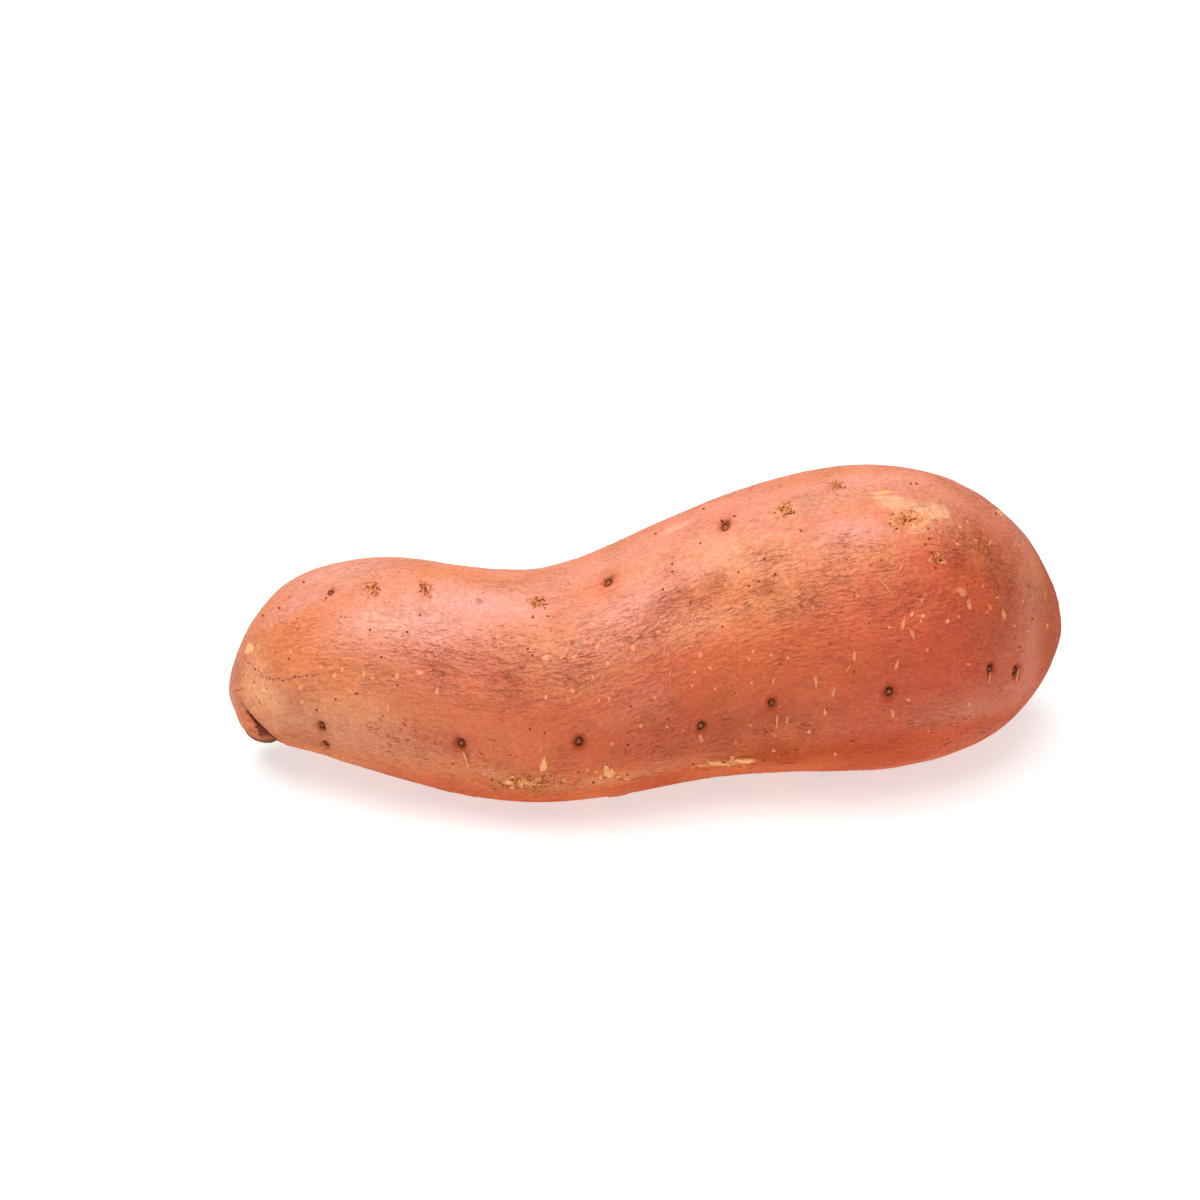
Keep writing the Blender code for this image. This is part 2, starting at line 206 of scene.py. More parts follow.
# Painted shade: the dark red of the fold where the shoulder overhangs the stub
FOLD_SHADE_RED = srgb(92, 20, 2)
SCAR_BROWN = srgb(96, 82, 52)
SCAR_EDGE = srgb(62, 54, 34)
SCRATCH_DARK = srgb(116, 58, 66)
DOT_PALE = srgb(236, 156, 110)
DASH_PALE = srgb(216, 142, 98)
CRUMB_TAN = srgb(206, 128, 76)
CRUMB_BROWN = srgb(136, 72, 36)
CRUST_TAN = srgb(222, 148, 90)
FLAKE_PALE = srgb(238, 170, 114)
FLAKE_GREY = srgb(198, 120, 84)
ROOTLET_PALE = srgb(222, 158, 116)
GRAIN_BROWN = srgb(120, 56, 26)
# What a crack leaves of the skin's own colour: painted shade in the crack
CRACK_SHADE = np.array((0.42, 0.40, 0.42))


def smooth(t):
    """Zero up to 0, one from 1, and an S-shaped ease between."""
    t = np.clip(t, 0, 1)
    return t * t * (3 - 2 * t)


STEPS = np.diff(SLICES[:, [0, 1, 2, 4]], axis=0)
REACH = np.concatenate([[0], np.cumsum(np.linalg.norm(STEPS, axis=1))])
ROOT_REACH = REACH[-1]


def natural_spline(knots, values, at):
    """Cubic curves through the values at the knots, with no jump in slope or in bend."""
    gap = np.diff(knots)
    count = len(knots)
    equations = np.eye(count)
    rises = np.zeros((count, values.shape[1]))
    slope = np.diff(values, axis=0) / gap[:, None]
    for i in range(1, count - 1):
        equations[i, i - 1:i + 2] = gap[i - 1], 2 * (gap[i - 1] + gap[i]), gap[i]
        rises[i] = 6 * (slope[i] - slope[i - 1])
    bend = np.linalg.solve(equations, rises)
    k = np.clip(np.searchsorted(knots, at) - 1, 0, count - 2)
    span = gap[k][:, None]
    b = ((at - knots[k]) / gap[k])[:, None]
    a = 1 - b
    curve = ((a ** 3 - a) * bend[k] + (b ** 3 - b) * bend[k + 1]) * span ** 2 / 6
    return a * values[k] + b * values[k + 1] + curve


def sections(reach):
    """The slice at each reach, and past each tip the slices mirrored, so that both tips are round."""
    more = MIRRORED_SLICES
    flip = np.array([1, 1, 1, -1, -1, 1])
    knots = np.concatenate([-REACH[more:0:-1], REACH, 2 * ROOT_REACH - REACH[-2:-2 - more:-1]])
    slices = np.concatenate([SLICES[more:0:-1] * flip, SLICES, SLICES[-2:-2 - more:-1] * flip])
    return natural_spline(knots, slices, reach)


def mean_radius(reach):
    """Half the thickness of the root at each reach."""
    return sections(reach)[:, 3:5].mean(axis=1)


def radius_at(reach):
    """Half the thickness of the root at one reach."""
    return mean_radius(np.array([reach]))[0]


def bare_skin(reach, around):
    """Points of the skin without its relief: an ellipse in each slice, leant about the slice's centre."""
    along, back, up, half_width, half_height, lean = sections(reach).T
    lean = np.radians(lean)
    height = half_height * np.sin(around)
    return np.stack([
        along + height * np.sin(lean),
        back + half_width * np.cos(around),
        up + height * np.cos(lean),
    ], axis=-1)


def outward(reach, around):
    """Directions straight out of the bare skin, turning to the line out of the tip close to each tip."""
    small_reach = 0.2
    small_turn = 0.01
    tip_depth = 2.0
    tip_blend = 1.0
    never_zero = 1e-9
    inner = np.clip(reach, small_reach, ROOT_REACH - small_reach)
    run = bare_skin(inner + small_reach, around) - bare_skin(inner - small_reach, around)
    turn = bare_skin(inner, around + small_turn) - bare_skin(inner, around - small_turn)
    normal = np.cross(turn, run)
    normal /= np.linalg.norm(normal, axis=1)[:, None]
    centre = sections(reach)[:, :3]
    deeper = sections(np.clip(reach, tip_depth, ROOT_REACH - tip_depth))[:, :3]
    tip = centre - deeper
    near_tip = smooth(1 - np.minimum(reach, ROOT_REACH - reach) / tip_blend)[:, None]
    tip /= np.maximum(np.linalg.norm(tip, axis=1), never_zero)[:, None]
    normal = normal * (1 - near_tip) + tip * near_tip
    return normal / np.linalg.norm(normal, axis=1)[:, None]


def swell(reach, around):
    """Slow lobes in the flesh: waves that wind round the root and fade at both tips."""
    fade = smooth(reach / TIP_FADE) * smooth((ROOT_REACH - reach) / TIP_FADE)
    waves = 0
    for height, lobes, winding, start in SWELLS:
        waves = waves + height * np.sin(lobes * around + winding * reach + start)
    return fade * waves


def eye_distance(reach, around, eye):
    """Way from an eye to each place on the skin, along the root and across it, in sizes of that eye."""
    eye_reach, eye_around, size = eye
    turn = (around - math.radians(eye_around) + math.pi) % (2 * math.pi) - math.pi
    along = (reach - eye_reach) / (size * EYE_ALONG)
    across = turn * radius_at(eye_reach) / (size * EYE_ACROSS)
    return along, across


def pit_eye(reach, around, eye):
    """A sunken scar: a bell-shaped hollow within a low ring, with a small knob in its middle."""
    along, across = eye_distance(reach, around, eye)
    spread = np.hypot(along, across)
    size = eye[2]
    knob = KNOB_HEIGHT * np.exp(-(np.hypot(along, across - KNOB_PLACE) / KNOB_SIZE) ** 2)
    hollow = PIT_DEPTH * np.exp(-spread ** 2)
    lip = PIT_LIP * np.exp(-((spread - PIT_LIP_PLACE) / PIT_LIP_WIDTH) ** 2)
    return size * (lip - hollow + knob)


def cork_eye(reach, around, eye):
    """A healed scar: a low crown of cork with a small pit towards its front edge."""
    along, across = eye_distance(reach, around, eye)
    size = eye[2]
    crown = np.hypot(along / CROWN_SIZE[0], across / CROWN_SIZE[1])
    pit_along = (along - CORK_PIT_PLACE[0]) / CORK_PIT_SIZE[0]
    pit_across = (across - CORK_PIT_PLACE[1]) / CORK_PIT_SIZE[1]
    pit = np.hypot(pit_along, pit_across)
    return size * (CORK_HEIGHT * np.exp(-crown ** 4) - CORK_PIT * np.exp(-pit ** 2))


def fold_side(reach, around):
    """Way from the fold's line towards the stub, and how strong the fold is there, from 0 to 1."""
    turn = np.degrees(around) % 360 - FOLD_AROUND
    line = FOLD_REACH + FOLD_SLOPE * turn
    return line - reach, smooth(FOLD_END_EASE * (1 - np.abs(turn) / FOLD_SPREAD))


def fold(reach, around):
    """The fold: a low lip on the shoulder, then a steep wall down, then an ease out over the stub."""
    towards_stub, strength = fold_side(reach, around)
    wall = smooth(towards_stub / FOLD_WALL)
    hollow = wall * np.exp(-(towards_stub / FOLD_EASE) ** 2)
    lip = (1 - wall) * np.exp(-(towards_stub / SHOULDER_EASE) ** 2)
    return strength * (SHOULDER_LIP * lip - FOLD_DEPTH * hollow)


def cut_scar(reach):
    """The stub's dried end: a shallow dish within a raised rim."""
    dish = smooth(SCAR_DISH - reach / SCAR_RADIUS)
    rim = np.exp(-((reach - SCAR_RADIUS) / SCAR_RIM_WIDTH) ** 2)
    return SCAR_RIM * rim - SCAR_DEPTH * dish


def noise(points, seed):
    """Smooth noise from -1 to 1: random heights at the corners of unit cubes, eased between them."""
    table = np.random.default_rng(seed).uniform(-1, 1, (LATTICE,) * 3)
    cell = np.floor(points).astype(int)
    share = smooth(points - cell)
    total = 0
    for corner in np.ndindex(2, 2, 2):
        weight = np.prod(np.where(corner, share, 1 - share), axis=1)
        i, j, k = ((cell + corner) % LATTICE).T
        total = total + weight * table[i, j, k]
    return total


def straight(reach, around):
    """The place as if the root were a straight bar: reach, and the two sides of its round section."""
    radius = mean_radius(reach)
    return np.stack([reach, radius * np.cos(around), radius * np.sin(around)], axis=-1)


def creases(reach, around):
    """Depth of the fine creases from 0 to 1: lines where a noise drawn out along the root is near zero."""
    place = straight(reach, around)
    bend = np.stack([noise(place / size, seed) for size, seed in WRINKLE_BENDS], axis=-1)
    warped = place / (WRINKLE_ALONG, WRINKLE_ACROSS, WRINKLE_ACROSS) + bend * WRINKLE_BEND
    return 1 - smooth(np.abs(noise(warped, 24)) / WRINKLE_WIDTH)


def crease_strength(reach, around):
    """How strong the creases are, from 0 to 1: slight all over, and strong in patches."""
    place = straight(reach, around)
    strength = FAINT_CREASES[0] + FAINT_CREASES[1] * noise(place / 6.0, 25)
    breaks = CREASE_BREAKS[0] + CREASE_BREAKS[1] * noise(place / 5.0, 26)
    for patch_reach, patch_around, radius, peak in WRINKLED_PLACES:
        across = turned(around, math.radians(patch_around)) * radius_at(patch_reach)
        away = ((reach - patch_reach) / (PATCH_STRETCH * radius)) ** 2 + (across / radius) ** 2
        strength = np.maximum(strength, peak * np.exp(-away) * breaks)
    return np.clip(strength, 0, 1)


def turned(around, middle):
    """Angle from middle to around, the short way round."""
    return (around - middle + math.pi) % (2 * math.pi) - math.pi


def fine_relief(reach, around):
    """Lumps of two sizes, and creases."""
    place = straight(reach, around)
    height = 0
    for size, rise, seed in LUMPS:
        height = height + rise * noise(place / size, seed)
    return height - WRINKLE_HEIGHT * creases(reach, around) * crease_strength(reach, around)


def relief(reach, around):
    """Height of everything that stands out of the bare skin or sinks into it."""
    height = swell(reach, around) + fold(reach, around) + cut_scar(reach) + fine_relief(reach, around)
    for eye in PIT_EYES + BACK_EYES:
        height += pit_eye(reach, around, eye)
    for eye in CORK_EYES:
        height += cork_eye(reach, around, eye)
    return height


# The cork eye in the pale patch, and those with brown crumbs, which are all the others
PALE_EYE = CORK_EYES[5]
BROWN_EYES = tuple(eye for eye in CORK_EYES if eye != PALE_EYE)


def back_eyes():
    """The eyes over the back and the underside, drawn as the part's source draws them."""
    rng = random.Random(SEED)
    eyes = []
    for row in BACK_ROWS:
        reach = FIRST_BACK_EYE + rng.uniform(0, BACK_EYE_GAP / 2)
        while reach < LAST_BACK_EYE:
            around = row + rng.uniform(-BACK_EYE_TURN, BACK_EYE_TURN)
            eyes.append((reach, around, rng.uniform(*BACK_EYE_SIZES)))
            reach += BACK_EYE_GAP + rng.uniform(-BACK_EYE_SHIFT, BACK_EYE_SHIFT)
    return tuple(eyes)


BACK_EYES = back_eyes()


def raised(reach, around, height):
    """Points at a height over the bare skin, centred over the origin, and never below the floor."""
    points = bare_skin(reach, around) + height[:, None] * outward(reach, around) - MIDDLE
    points[:, 2] = np.maximum(points[:, 2], 0)
    return points


def skin_points(reach, around, lift=0.0):
    """Points lifted that far off the finished skin."""
    return raised(reach, around, relief(reach, around) + lift)


# The skin's grid

ROWS = ROWS_PER_BAND * len(BANDS)
grid_reach, grid_around = (g.ravel() for g in np.meshgrid(
    ROOT_REACH * np.arange(ROWS + 1) / ROWS, 2 * math.pi * np.arange(COLUMNS) / COLUMNS, indexing="ij"))
MIDDLE = np.zeros(3)
grid_relief = relief(grid_reach, grid_around)
grid_points = raised(grid_reach, grid_around, grid_relief)
MIDDLE = (grid_points.min(axis=0) + grid_points.max(axis=0)) / 2 * (1, 1, 0)
grid_points = grid_points - MIDDLE


def grid_normals():
    """Normals of the grid: the cross product of its two running directions, evened out at the tips."""
    points = grid_points.reshape(ROWS + 1, COLUMNS, 3)
    turn = np.roll(points, -1, axis=1) - np.roll(points, 1, axis=1)
    run = np.gradient(points, axis=0)
    normals = np.cross(turn, run)
    normals[0] = normals[1].mean(axis=0)
    normals[-1] = normals[-2].mean(axis=0)
    return (normals / np.linalg.norm(normals, axis=2)[:, :, None]).reshape(-1, 3)


grid_normal = grid_normals()


def seen_by_camera(points):
    """Pixel column and row of points in the photograph's frame, and their distance from the camera."""
    offset = points - CAMERA_PLACE
    down = math.radians(CAMERA_LOOKS_DOWN)
    depth = offset @ np.array((0, math.cos(down), -math.sin(down)))
    rise = offset @ np.array((0, math.sin(down), math.cos(down)))
    scale = PHOTO_SIDE * LENS / SENSOR
    return PHOTO_SIDE / 2 + scale * offset[:, 0] / depth, PHOTO_SIDE / 2 - scale * rise / depth, depth


grid_column, grid_row, grid_depth = seen_by_camera(grid_points)
grid_faces_camera = ((CAMERA_PLACE - grid_points) * grid_normal).sum(axis=1) > 0


# Points within this many pixels of the nearest one are as good, and the one nearest the camera is taken
AS_NEAR = 0.8
OUT_OF_SIGHT = 1000


def place_of(column, row):
    """Reach and around of the place on the skin that the photograph shows at that pixel."""
    miss = np.hypot(grid_column - column, grid_row - row) + np.where(grid_faces_camera, 0, OUT_OF_SIGHT)
    near = miss < miss.min() + AS_NEAR
    best = np.argmin(np.where(near, grid_depth, np.inf))
    return grid_reach[best], grid_around[best]


def places_of(pixels):
    """Reach and around for each of several pixels."""
    return np.array([place_of(*pixel[:2]) for pixel in pixels]).T


# Colour of the skin

# Patches that the photograph shows: pixel, half length along and across in millimetres, colour, strength.
# The lilac ones, and the pale pink ones along the top edge, are painted highlight; the dark red ones along
# the bottom edge are painted shade
PATCHES = (
    (290, 640, 14, 9, ORANGE, 0.65), (255, 610, 8, 6, ORANGE, 0.6), (300, 600, 12, 5, SHEEN_LILAC, 0.5),
    (340, 570, 18, 5, SHEEN_LILAC, 0.6), (560, 590, 20, 6, ROSE, 0.5), (500, 610, 22, 6, ROSE, 0.6),
    (840, 530, 16, 8, ROSE, 0.7), (800, 560, 12, 8, SALMON, 0.5), (955, 530, 12, 12, RED, 0.28),
    (450, 668, 16, 8, ROSE, 0.35), (600, 700, 20, 8, RED, 0.12), (560, 688, 14, 5, SALMON, 0.35),
    (960, 660, 16, 10, DEEP_RED, 0.4), (940, 560, 8, 6, RED, 0.7), (700, 640, 24, 6, RED, 0.2),
    (930, 600, 12, 8, RED, 0.35), (900, 640, 14, 8, RED, 0.4), (960, 725, 14, 6, RED, 0.3),
    (880, 740, 20, 6, RED, 0.2), (258, 695, 5, 9, TAN, 0.7), (330, 700, 14, 7, TAN, 0.5),
    (350, 720, 16, 6, TAN, 0.5), (990, 560, 12, 9, OLIVE, 0.45), (1000, 590, 8, 8, OLIVE, 0.4),
    (1045, 625, 6, 12, RUST_TONE_AND_SHADE, 0.12), (760, 720, 18, 7, RUST_TONE_AND_SHADE, 0.6), (800, 752, 22, 6, RUST_TONE_AND_SHADE, 0.6),
    (700, 740, 16, 6, RUST_TONE_AND_SHADE, 0.4), (880, 665, 14, 8, RUST_TONE_AND_SHADE, 0.3), (870, 478, 22, 5, PINK, 0.8),
    (935, 495, 14, 5, PINK, 0.5), (800, 500, 14, 5, PINK, 0.5), (740, 500, 16, 4, PINK, 0.4),
    (470, 605, 14, 6, SHEEN_LILAC, 0.6), (330, 578, 14, 5, PINK, 0.5), (560, 640, 16, 5, SALMON, 0.3),
    (1052, 600, 4, 10, OLIVE, 0.5), (730, 598, 12, 7, OLIVE, 0.12), (700, 590, 14, 6, ORANGE, 0.5),
    (930, 512, 12, 6, PINK, 0.4), (865, 497, 24, 5, DUSTY, 0.4), (790, 505, 16, 5, DUSTY, 0.35),
    (675, 527, 4.5, 1.6, CREAM, 0.7), (912, 520, 5, 3.5, SAND, 0.6), (249, 648, 1.3, 1.8, CREAM, 0.9),
    (257, 647, 0.9, 1.1, YELLOW, 0.9), (733, 763, 6, 0.9, CREAM, 0.9), (707, 766, 4, 0.7, CREAM, 0.7),
    (878, 492, 2.5, 0.6, CREAM, 0.9), (520, 782, 12, 5, BARK_TAN, 0.75), (500, 776, 4, 2, TAN, 0.4),
    (545, 790, 8, 3, BARK_TAN, 0.6), (610, 780, 7, 2.5, TAN, 0.5), (640, 775, 5, 1.5, TAN, 0.3),
    (888, 497, 4, 0.9, CREAM, 0.8), (930, 509, 5.5, 2.8, CREAM, 0.9), (906, 505, 6, 2.2, CREAM, 0.85),
    (965, 712, 12, 5, GREY_PINK, 0.45), (950, 681, 10, 2.0, RED, 0.75),
    (930, 687, 5, 1.0, DEEP_RED, 0.7), (730, 775, 12, 2, BARK_TAN, 0.5), (1053, 640, 5, 10, RUST_TONE_AND_SHADE, 0.2),
    (264, 690, 5, 9, SAND, 0.6), (785, 509, 3.5, 3, TAN, 0.6), (375, 620, 12, 6, SHEEN_LILAC, 0.6),
    (430, 620, 10, 5, SHEEN_LILAC, 0.5), (620, 615, 10, 6, SHEEN_LILAC, 0.4), (855, 530, 9, 5, SHEEN_LILAC, 0.5),
    (450, 575, 30, 5, ORANGE, 0.25), (620, 560, 16, 4, ORANGE, 0.2), (460, 590, 28, 6, SHEEN_LILAC, 0.35),
    (600, 565, 18, 6, SHEEN_LILAC, 0.4), (690, 555, 18, 7, SAND, 0.3), (750, 560, 14, 8, SAND, 0.4),
    (775, 600, 14, 7, SAND, 0.35), (600, 640, 18, 7, PINK, 0.35), (665, 630, 18, 6, PINK, 0.35),
    (655, 680, 12, 5, PINK, 0.15), (480, 715, 16, 8, SALMON, 0.3), (360, 640, 14, 7, PINK, 0.5),
    (425, 632, 14, 6, SHEEN_LILAC, 0.3), (860, 480, 20, 5, SHEEN_LILAC, 0.25), (335, 680, 14, 6, ORANGE, 0.5),
    (760, 680, 12, 7, RUST_TONE_AND_SHADE, 0.25), (880, 600, 12, 8, RED, 0.35), (975, 600, 14, 10, RUST_TONE_AND_SHADE, 0.3),
    (995, 655, 12, 12, RUST_TONE_AND_SHADE, 0.3), (740, 758, 24, 5, LOWER_RIM_SHADE, 0.25), (830, 758, 22, 5, LOWER_RIM_SHADE, 0.25),
    (450, 770, 24, 6, TAN, 0.4), (600, 782, 26, 4, TAN, 0.4), (1000, 520, 10, 10, ROSE, 0.3),
    (1030, 650, 8, 16, ROSE, 0.25), (380, 750, 14, 6, TAN, 0.35), (985, 735, 16, 6, ROSE, 0.35),
    (670, 765, 16, 4, SALMON, 0.4), (1038, 585, 8, 14, TAN, 0.45), (962, 665, 15, 7, FLAME, 0.55),
    (650, 590, 18, 5, SHEEN_LILAC, 0.3), (600, 672, 16, 6, SALMON, 0.4), (630, 712, 14, 6, PINK, 0.25),
    (770, 590, 18, 6, ORANGE, 0.4), (718, 748, 16, 5, RUST_TONE_AND_SHADE, 0.25), (318, 668, 14, 6, ORANGE, 0.5),
    (880, 595, 9, 5, RUST_TONE_AND_SHADE, 0.2), (985, 552, 10, 6, ORANGE, 0.35), (990, 595, 9, 6, FLAME, 0.3),
    (345, 577, 22, 4, DUSTY, 0.35), (545, 585, 12, 4, DUSTY, 0.35), (480, 624, 16, 5, PINK, 0.25),
    (600, 627, 16, 5, PINK, 0.3), (700, 624, 12, 5, SAND, 0.25), (385, 627, 9, 5, SAND, 0.25),
)
# Patches on the sides that it doesn't show: how many are kept, of how many drawn for each that is kept,
# their half sizes, strengths and colours
HIDDEN_PATCHES = 46
HIDDEN_DRAWS = 3
PATCH_SEED = 31
HIDDEN_LONG = (5, 20)
HIDDEN_WIDE = (3, 9)
HIDDEN_STRENGTH = (0.3, 0.7)
HIDDEN_COLOURS = (ORANGE, ROSE, RED, TAN, OLIVE, PINK, DEEP_RED, SALMON)


# The angles around between which the photograph shows the skin
SEEN_FROM = 62
SEEN_TO = 232
# Random places keep this far off both tips and above the floor, and more are drawn than are kept, since
# they get rarer where the root is thinner than at this share of its reach
STEM_CLEARANCE = 7
TAIL_CLEARANCE = 5
CLEAR_OF_FLOOR = 1.4
SPARE_DRAWS = 6
THICKEST = 0.7


def to_camera(around):
    """True where the photograph shows the skin."""
    angle = np.degrees(around) % 360
    return (angle > SEEN_FROM) & (angle < SEEN_TO)


def scatter(count, seed):
    """Random places spread evenly over the skin, off the flat spot and the very tips."""
    rng = np.random.default_rng(seed)
    reach = rng.uniform(STEM_CLEARANCE, ROOT_REACH - TAIL_CLEARANCE, count * SPARE_DRAWS)
    around = rng.uniform(0, 2 * math.pi, count * SPARE_DRAWS)
    even = rng.uniform(0, radius_at(ROOT_REACH * THICKEST), count * SPARE_DRAWS) < mean_radius(reach)
    clear = bare_skin(reach, around)[:, 2] > CLEAR_OF_FLOOR
    keep = even & clear
    return reach[keep][:count], around[keep][:count]


def patch_frame(reach, around):
    """The point of the bare skin at a place, and the direction there along the root."""
    step = 0.5
    ends = np.clip((reach - step, reach, reach + step), 0, ROOT_REACH)
    before, middle, after = bare_skin(ends, np.full(3, around))
    return middle, (after - before) / np.linalg.norm(after - before)


def patch_list():
    """All the patches as middle, way along the root, half length, half width, colour, strength."""
    patches = [(*patch_frame(*place_of(p[0], p[1])), *p[2:]) for p in PATCHES]
    rng = np.random.default_rng(PATCH_SEED)
    for reach, around in zip(*scatter(HIDDEN_PATCHES * HIDDEN_DRAWS, PATCH_SEED + 1)):
        if not to_camera(around) and len(patches) < len(PATCHES) + HIDDEN_PATCHES:
            colour = HIDDEN_COLOURS[rng.integers(len(HIDDEN_COLOURS))]
            size = (rng.uniform(*HIDDEN_LONG), rng.uniform(*HIDDEN_WIDE))
            patches.append((*patch_frame(reach, around), *size, colour, rng.uniform(*HIDDEN_STRENGTH)))
    return patches


PATCH_LIST = patch_list()


def blend(below, above, share):
    """Colours between below and above by a share from 0 to 1. Either may be one colour for all shares."""
    share = np.clip(share, 0, 1)[:, None]
    return below * (1 - share) + above * share


# Past this tilt from upright, and over so many degrees more, the skin turns to the painted shade of its
# belly
BELLY_TILT = 22
BELLY_EASE = 38
# Reach where the belly's pale stem end gives way to its main colour and where it starts to redden, and over
# how many millimetres each goes on
STEM_PALE_END = 36
STEM_PALE_EASE = 40
RED_START = 120
RED_EASE = 60
# A patch with a half size over this has a soft edge
LARGE_PATCH = 6.5
# How much the flecks change red, green and blue, and how much the painted shade in the creases darkens them
FLECK_SHADE = 0.06 * np.array((0.5, 1.0, 1.1))
CREASE_SHADE = 0.45 * np.array((0.6, 1.0, 1.1))


def skin_tint(reach, around):
    """Colour: orange and rose in slow clouds, painted shade below and in creases, ragged patches, eyes,
    fold and scar.
    """
    place = straight(reach, around)
    cloud = noise(place / 20.0, 41) + 0.5 * noise(place / 9.0, 42)
    tint = blend(SALMON, ROSE, smooth(0.5 + 0.5 * cloud))
    ragged = 0.22 * noise(place / 3.2, 44) + 0.12 * noise(place / 1.1, 45)
    # Painted shade: darker and redder as the skin tilts to face down, and redder still towards the tail
    tilt = np.degrees(np.arccos(np.clip(outward(reach, around)[:, 2], -1, 1)))
    belly = smooth((tilt + 25 * ragged + 8 * cloud - BELLY_TILT) / BELLY_EASE)
    deep = blend(STEM_END_BELLY_SHADE, BELLY_SHADE, smooth((reach - STEM_PALE_END + 8 * cloud) / STEM_PALE_EASE))
    tint = blend(tint, deep, belly)
    tint = blend(tint, ORANGE, 0.5 * smooth(0.4 + 0.8 * noise(place / 16.0, 43)))
    tint = blend(tint, RED, 0.5 * belly * smooth((reach - RED_START) / RED_EASE))
    points = bare_skin(reach, around)
    for middle, way, long, wide, colour, strength in PATCH_LIST:
        offset = points - middle
        along = offset @ way
        across_squared = np.maximum((offset ** 2).sum(axis=1) - along ** 2, 0)
        distance = np.sqrt((along / long) ** 2 + across_squared / wide ** 2)
        soft = 0.7 if max(long, wide) > LARGE_PATCH else 0.3
        tint = blend(tint, colour, strength * smooth((1 + 0.5 * soft - distance + ragged) / (2 * soft)))
    fleck = noise(place / 0.8, 46) + 0.6 * noise(place / 0.45, 47)
    tint = tint * (1 + fleck[:, None] * FLECK_SHADE)
    # Painted shade in the creases: the tint darkens along them
    crease = creases(reach, around) * crease_strength(reach, around)
    return mark_tint(tint * (1 - crease[:, None] * CREASE_SHADE), reach, around, ragged)


# No mark of a pit or of a cork eye goes further along the root than this
PIT_MARKS = 6
CORK_MARKS = 8
# The fold's painted shade, a dark wedge: its width at one angle around and what it gains with each degree,
# where and over how many degrees it opens towards the stub's rim and how much wider it gets there, its
# first and last angle, the reach where it ends short of the scar, and how much of its width over the least
# one is soft
WEDGE_AROUND = 158
WEDGE_WIDTH = 4.3
WEDGE_SLOPE = 0.08
WEDGE_FRONT = 179
WEDGE_FRONT_EASE = 5
WEDGE_FRONT_WIDTH = 11
WEDGE_FIRST = 148
WEDGE_LAST = 246
WEDGE_OFF_SCAR = 3.8
WEDGE_LEAST = 3.2
WEDGE_SOFT = 0.3


def mark_tint(tint, reach, around, ragged):
    """The skin's colour with the eyes' dark rings, partly painted shade, red halos, the cork, painted shade
    in the fold and the cut scar.
    """
    for eye in PIT_EYES + BACK_EYES:
        near = np.abs(reach - eye[0]) < PIT_MARKS
        along, across = eye_distance(reach[near], around[near], eye)
        spread = np.hypot(along, across) + 1.1 * ragged[near]
        marked = blend(tint[near], DEEP_RED, 0.35 * np.exp(-(spread / 2.0) ** 2))
        marked = blend(marked, EYE_EDGE, 0.8 * smooth((1.05 - spread) / 0.3))
        # The dark inside each pit is partly the eye's own dark brown and partly painted shade, strongest on
        # the pit's upper side
        lit = 0.62 + 0.38 * np.cos(np.arctan2(along, across) - 2.6 - 0.9 * math.sin(9 * eye[0]))
        marked = blend(marked, EYE_DARK_AND_SHADE, 0.7 * lit * smooth((0.8 - spread) / 0.3))
        tint[near] = blend(marked, EYE_CENTRE, 0.8 * smooth((0.34 - spread) / 0.2))
    for eye in CORK_EYES:
        near = np.abs(reach - eye[0]) < CORK_MARKS
        along, across = eye_distance(reach[near], around[near], eye)
        spread = np.hypot(along / 1.3, across / 1.2) + 1.2 * ragged[near]
        tint[near] = blend(tint[near], CORK_LIGHT, 0.35 * smooth((1.15 - spread) / 0.8))
    # Painted shade in the fold: a dark red wedge where the shoulder overhangs the stub
    towards_stub = fold_side(reach, around)[0]
    angle = np.degrees(around) % 360
    wedge_end = WEDGE_WIDTH + WEDGE_SLOPE * (angle - WEDGE_AROUND)
    wedge_end = wedge_end + WEDGE_FRONT_WIDTH * smooth((angle - WEDGE_FRONT) / WEDGE_FRONT_EASE)
    edge = np.maximum(WEDGE_SOFT * (wedge_end - WEDGE_LEAST), WEDGE_SOFT)
    inside = smooth((wedge_end - towards_stub) / edge)
    inside *= smooth((angle - WEDGE_FIRST) / 10) * smooth((WEDGE_LAST - angle) / 20)
    inside *= smooth((reach - WEDGE_OFF_SCAR) / 1.2) * smooth((towards_stub + 0.25) / 0.5)
    tint = blend(tint, FOLD_SHADE_RED, 0.97 * inside)
    rim = np.exp(-((reach - SCAR_RADIUS - 0.4 + 2 * ragged) / 1.1) ** 2)
    tint = blend(tint, SCAR_BROWN, 0.9 * smooth((SCAR_RADIUS + 0.4 - reach) / 1.2))
    return blend(tint, SCAR_EDGE, 0.85 * rim)


# Materials

def add(tree, kind, sockets, **settings):
    """A shader node with its settings. Each socket takes a value or another node's output."""
    node = tree.nodes.new("ShaderNode" + kind)
    for name, value in settings.items():
        setattr(node, name, value)
    for name, value in sockets.items():
        if isinstance(value, bpy.types.NodeSocket):
            tree.links.new(value, node.inputs[name])
        else:
            node.inputs[name].default_value = value
    return node


def attribute(tree, name, output):
    """An output of one of the mesh's own attributes."""
    return add(tree, "Attribute", {}, attribute_name=name).outputs[output]


def cloud(tree, where, scale, detail):
    """Noise from 0 to 1."""
    return add(tree, "TexNoise", {"Vector": where, "Scale": scale, "Detail": detail}).outputs["Fac"]


def worked_out(tree, way, *values):
    """A sum of one to three values, done in the named way."""
    return add(tree, "Math", dict(enumerate(values)), operation=way).outputs[0]


def between(tree, value, low, high, to_low, to_high):
    """The value moved from one range to another, and held inside it."""
    sockets = {"Value": value, "From Min": low, "From Max": high, "To Min": to_low, "To Max": to_high}
    return add(tree, "MapRange", sockets).outputs["Result"]


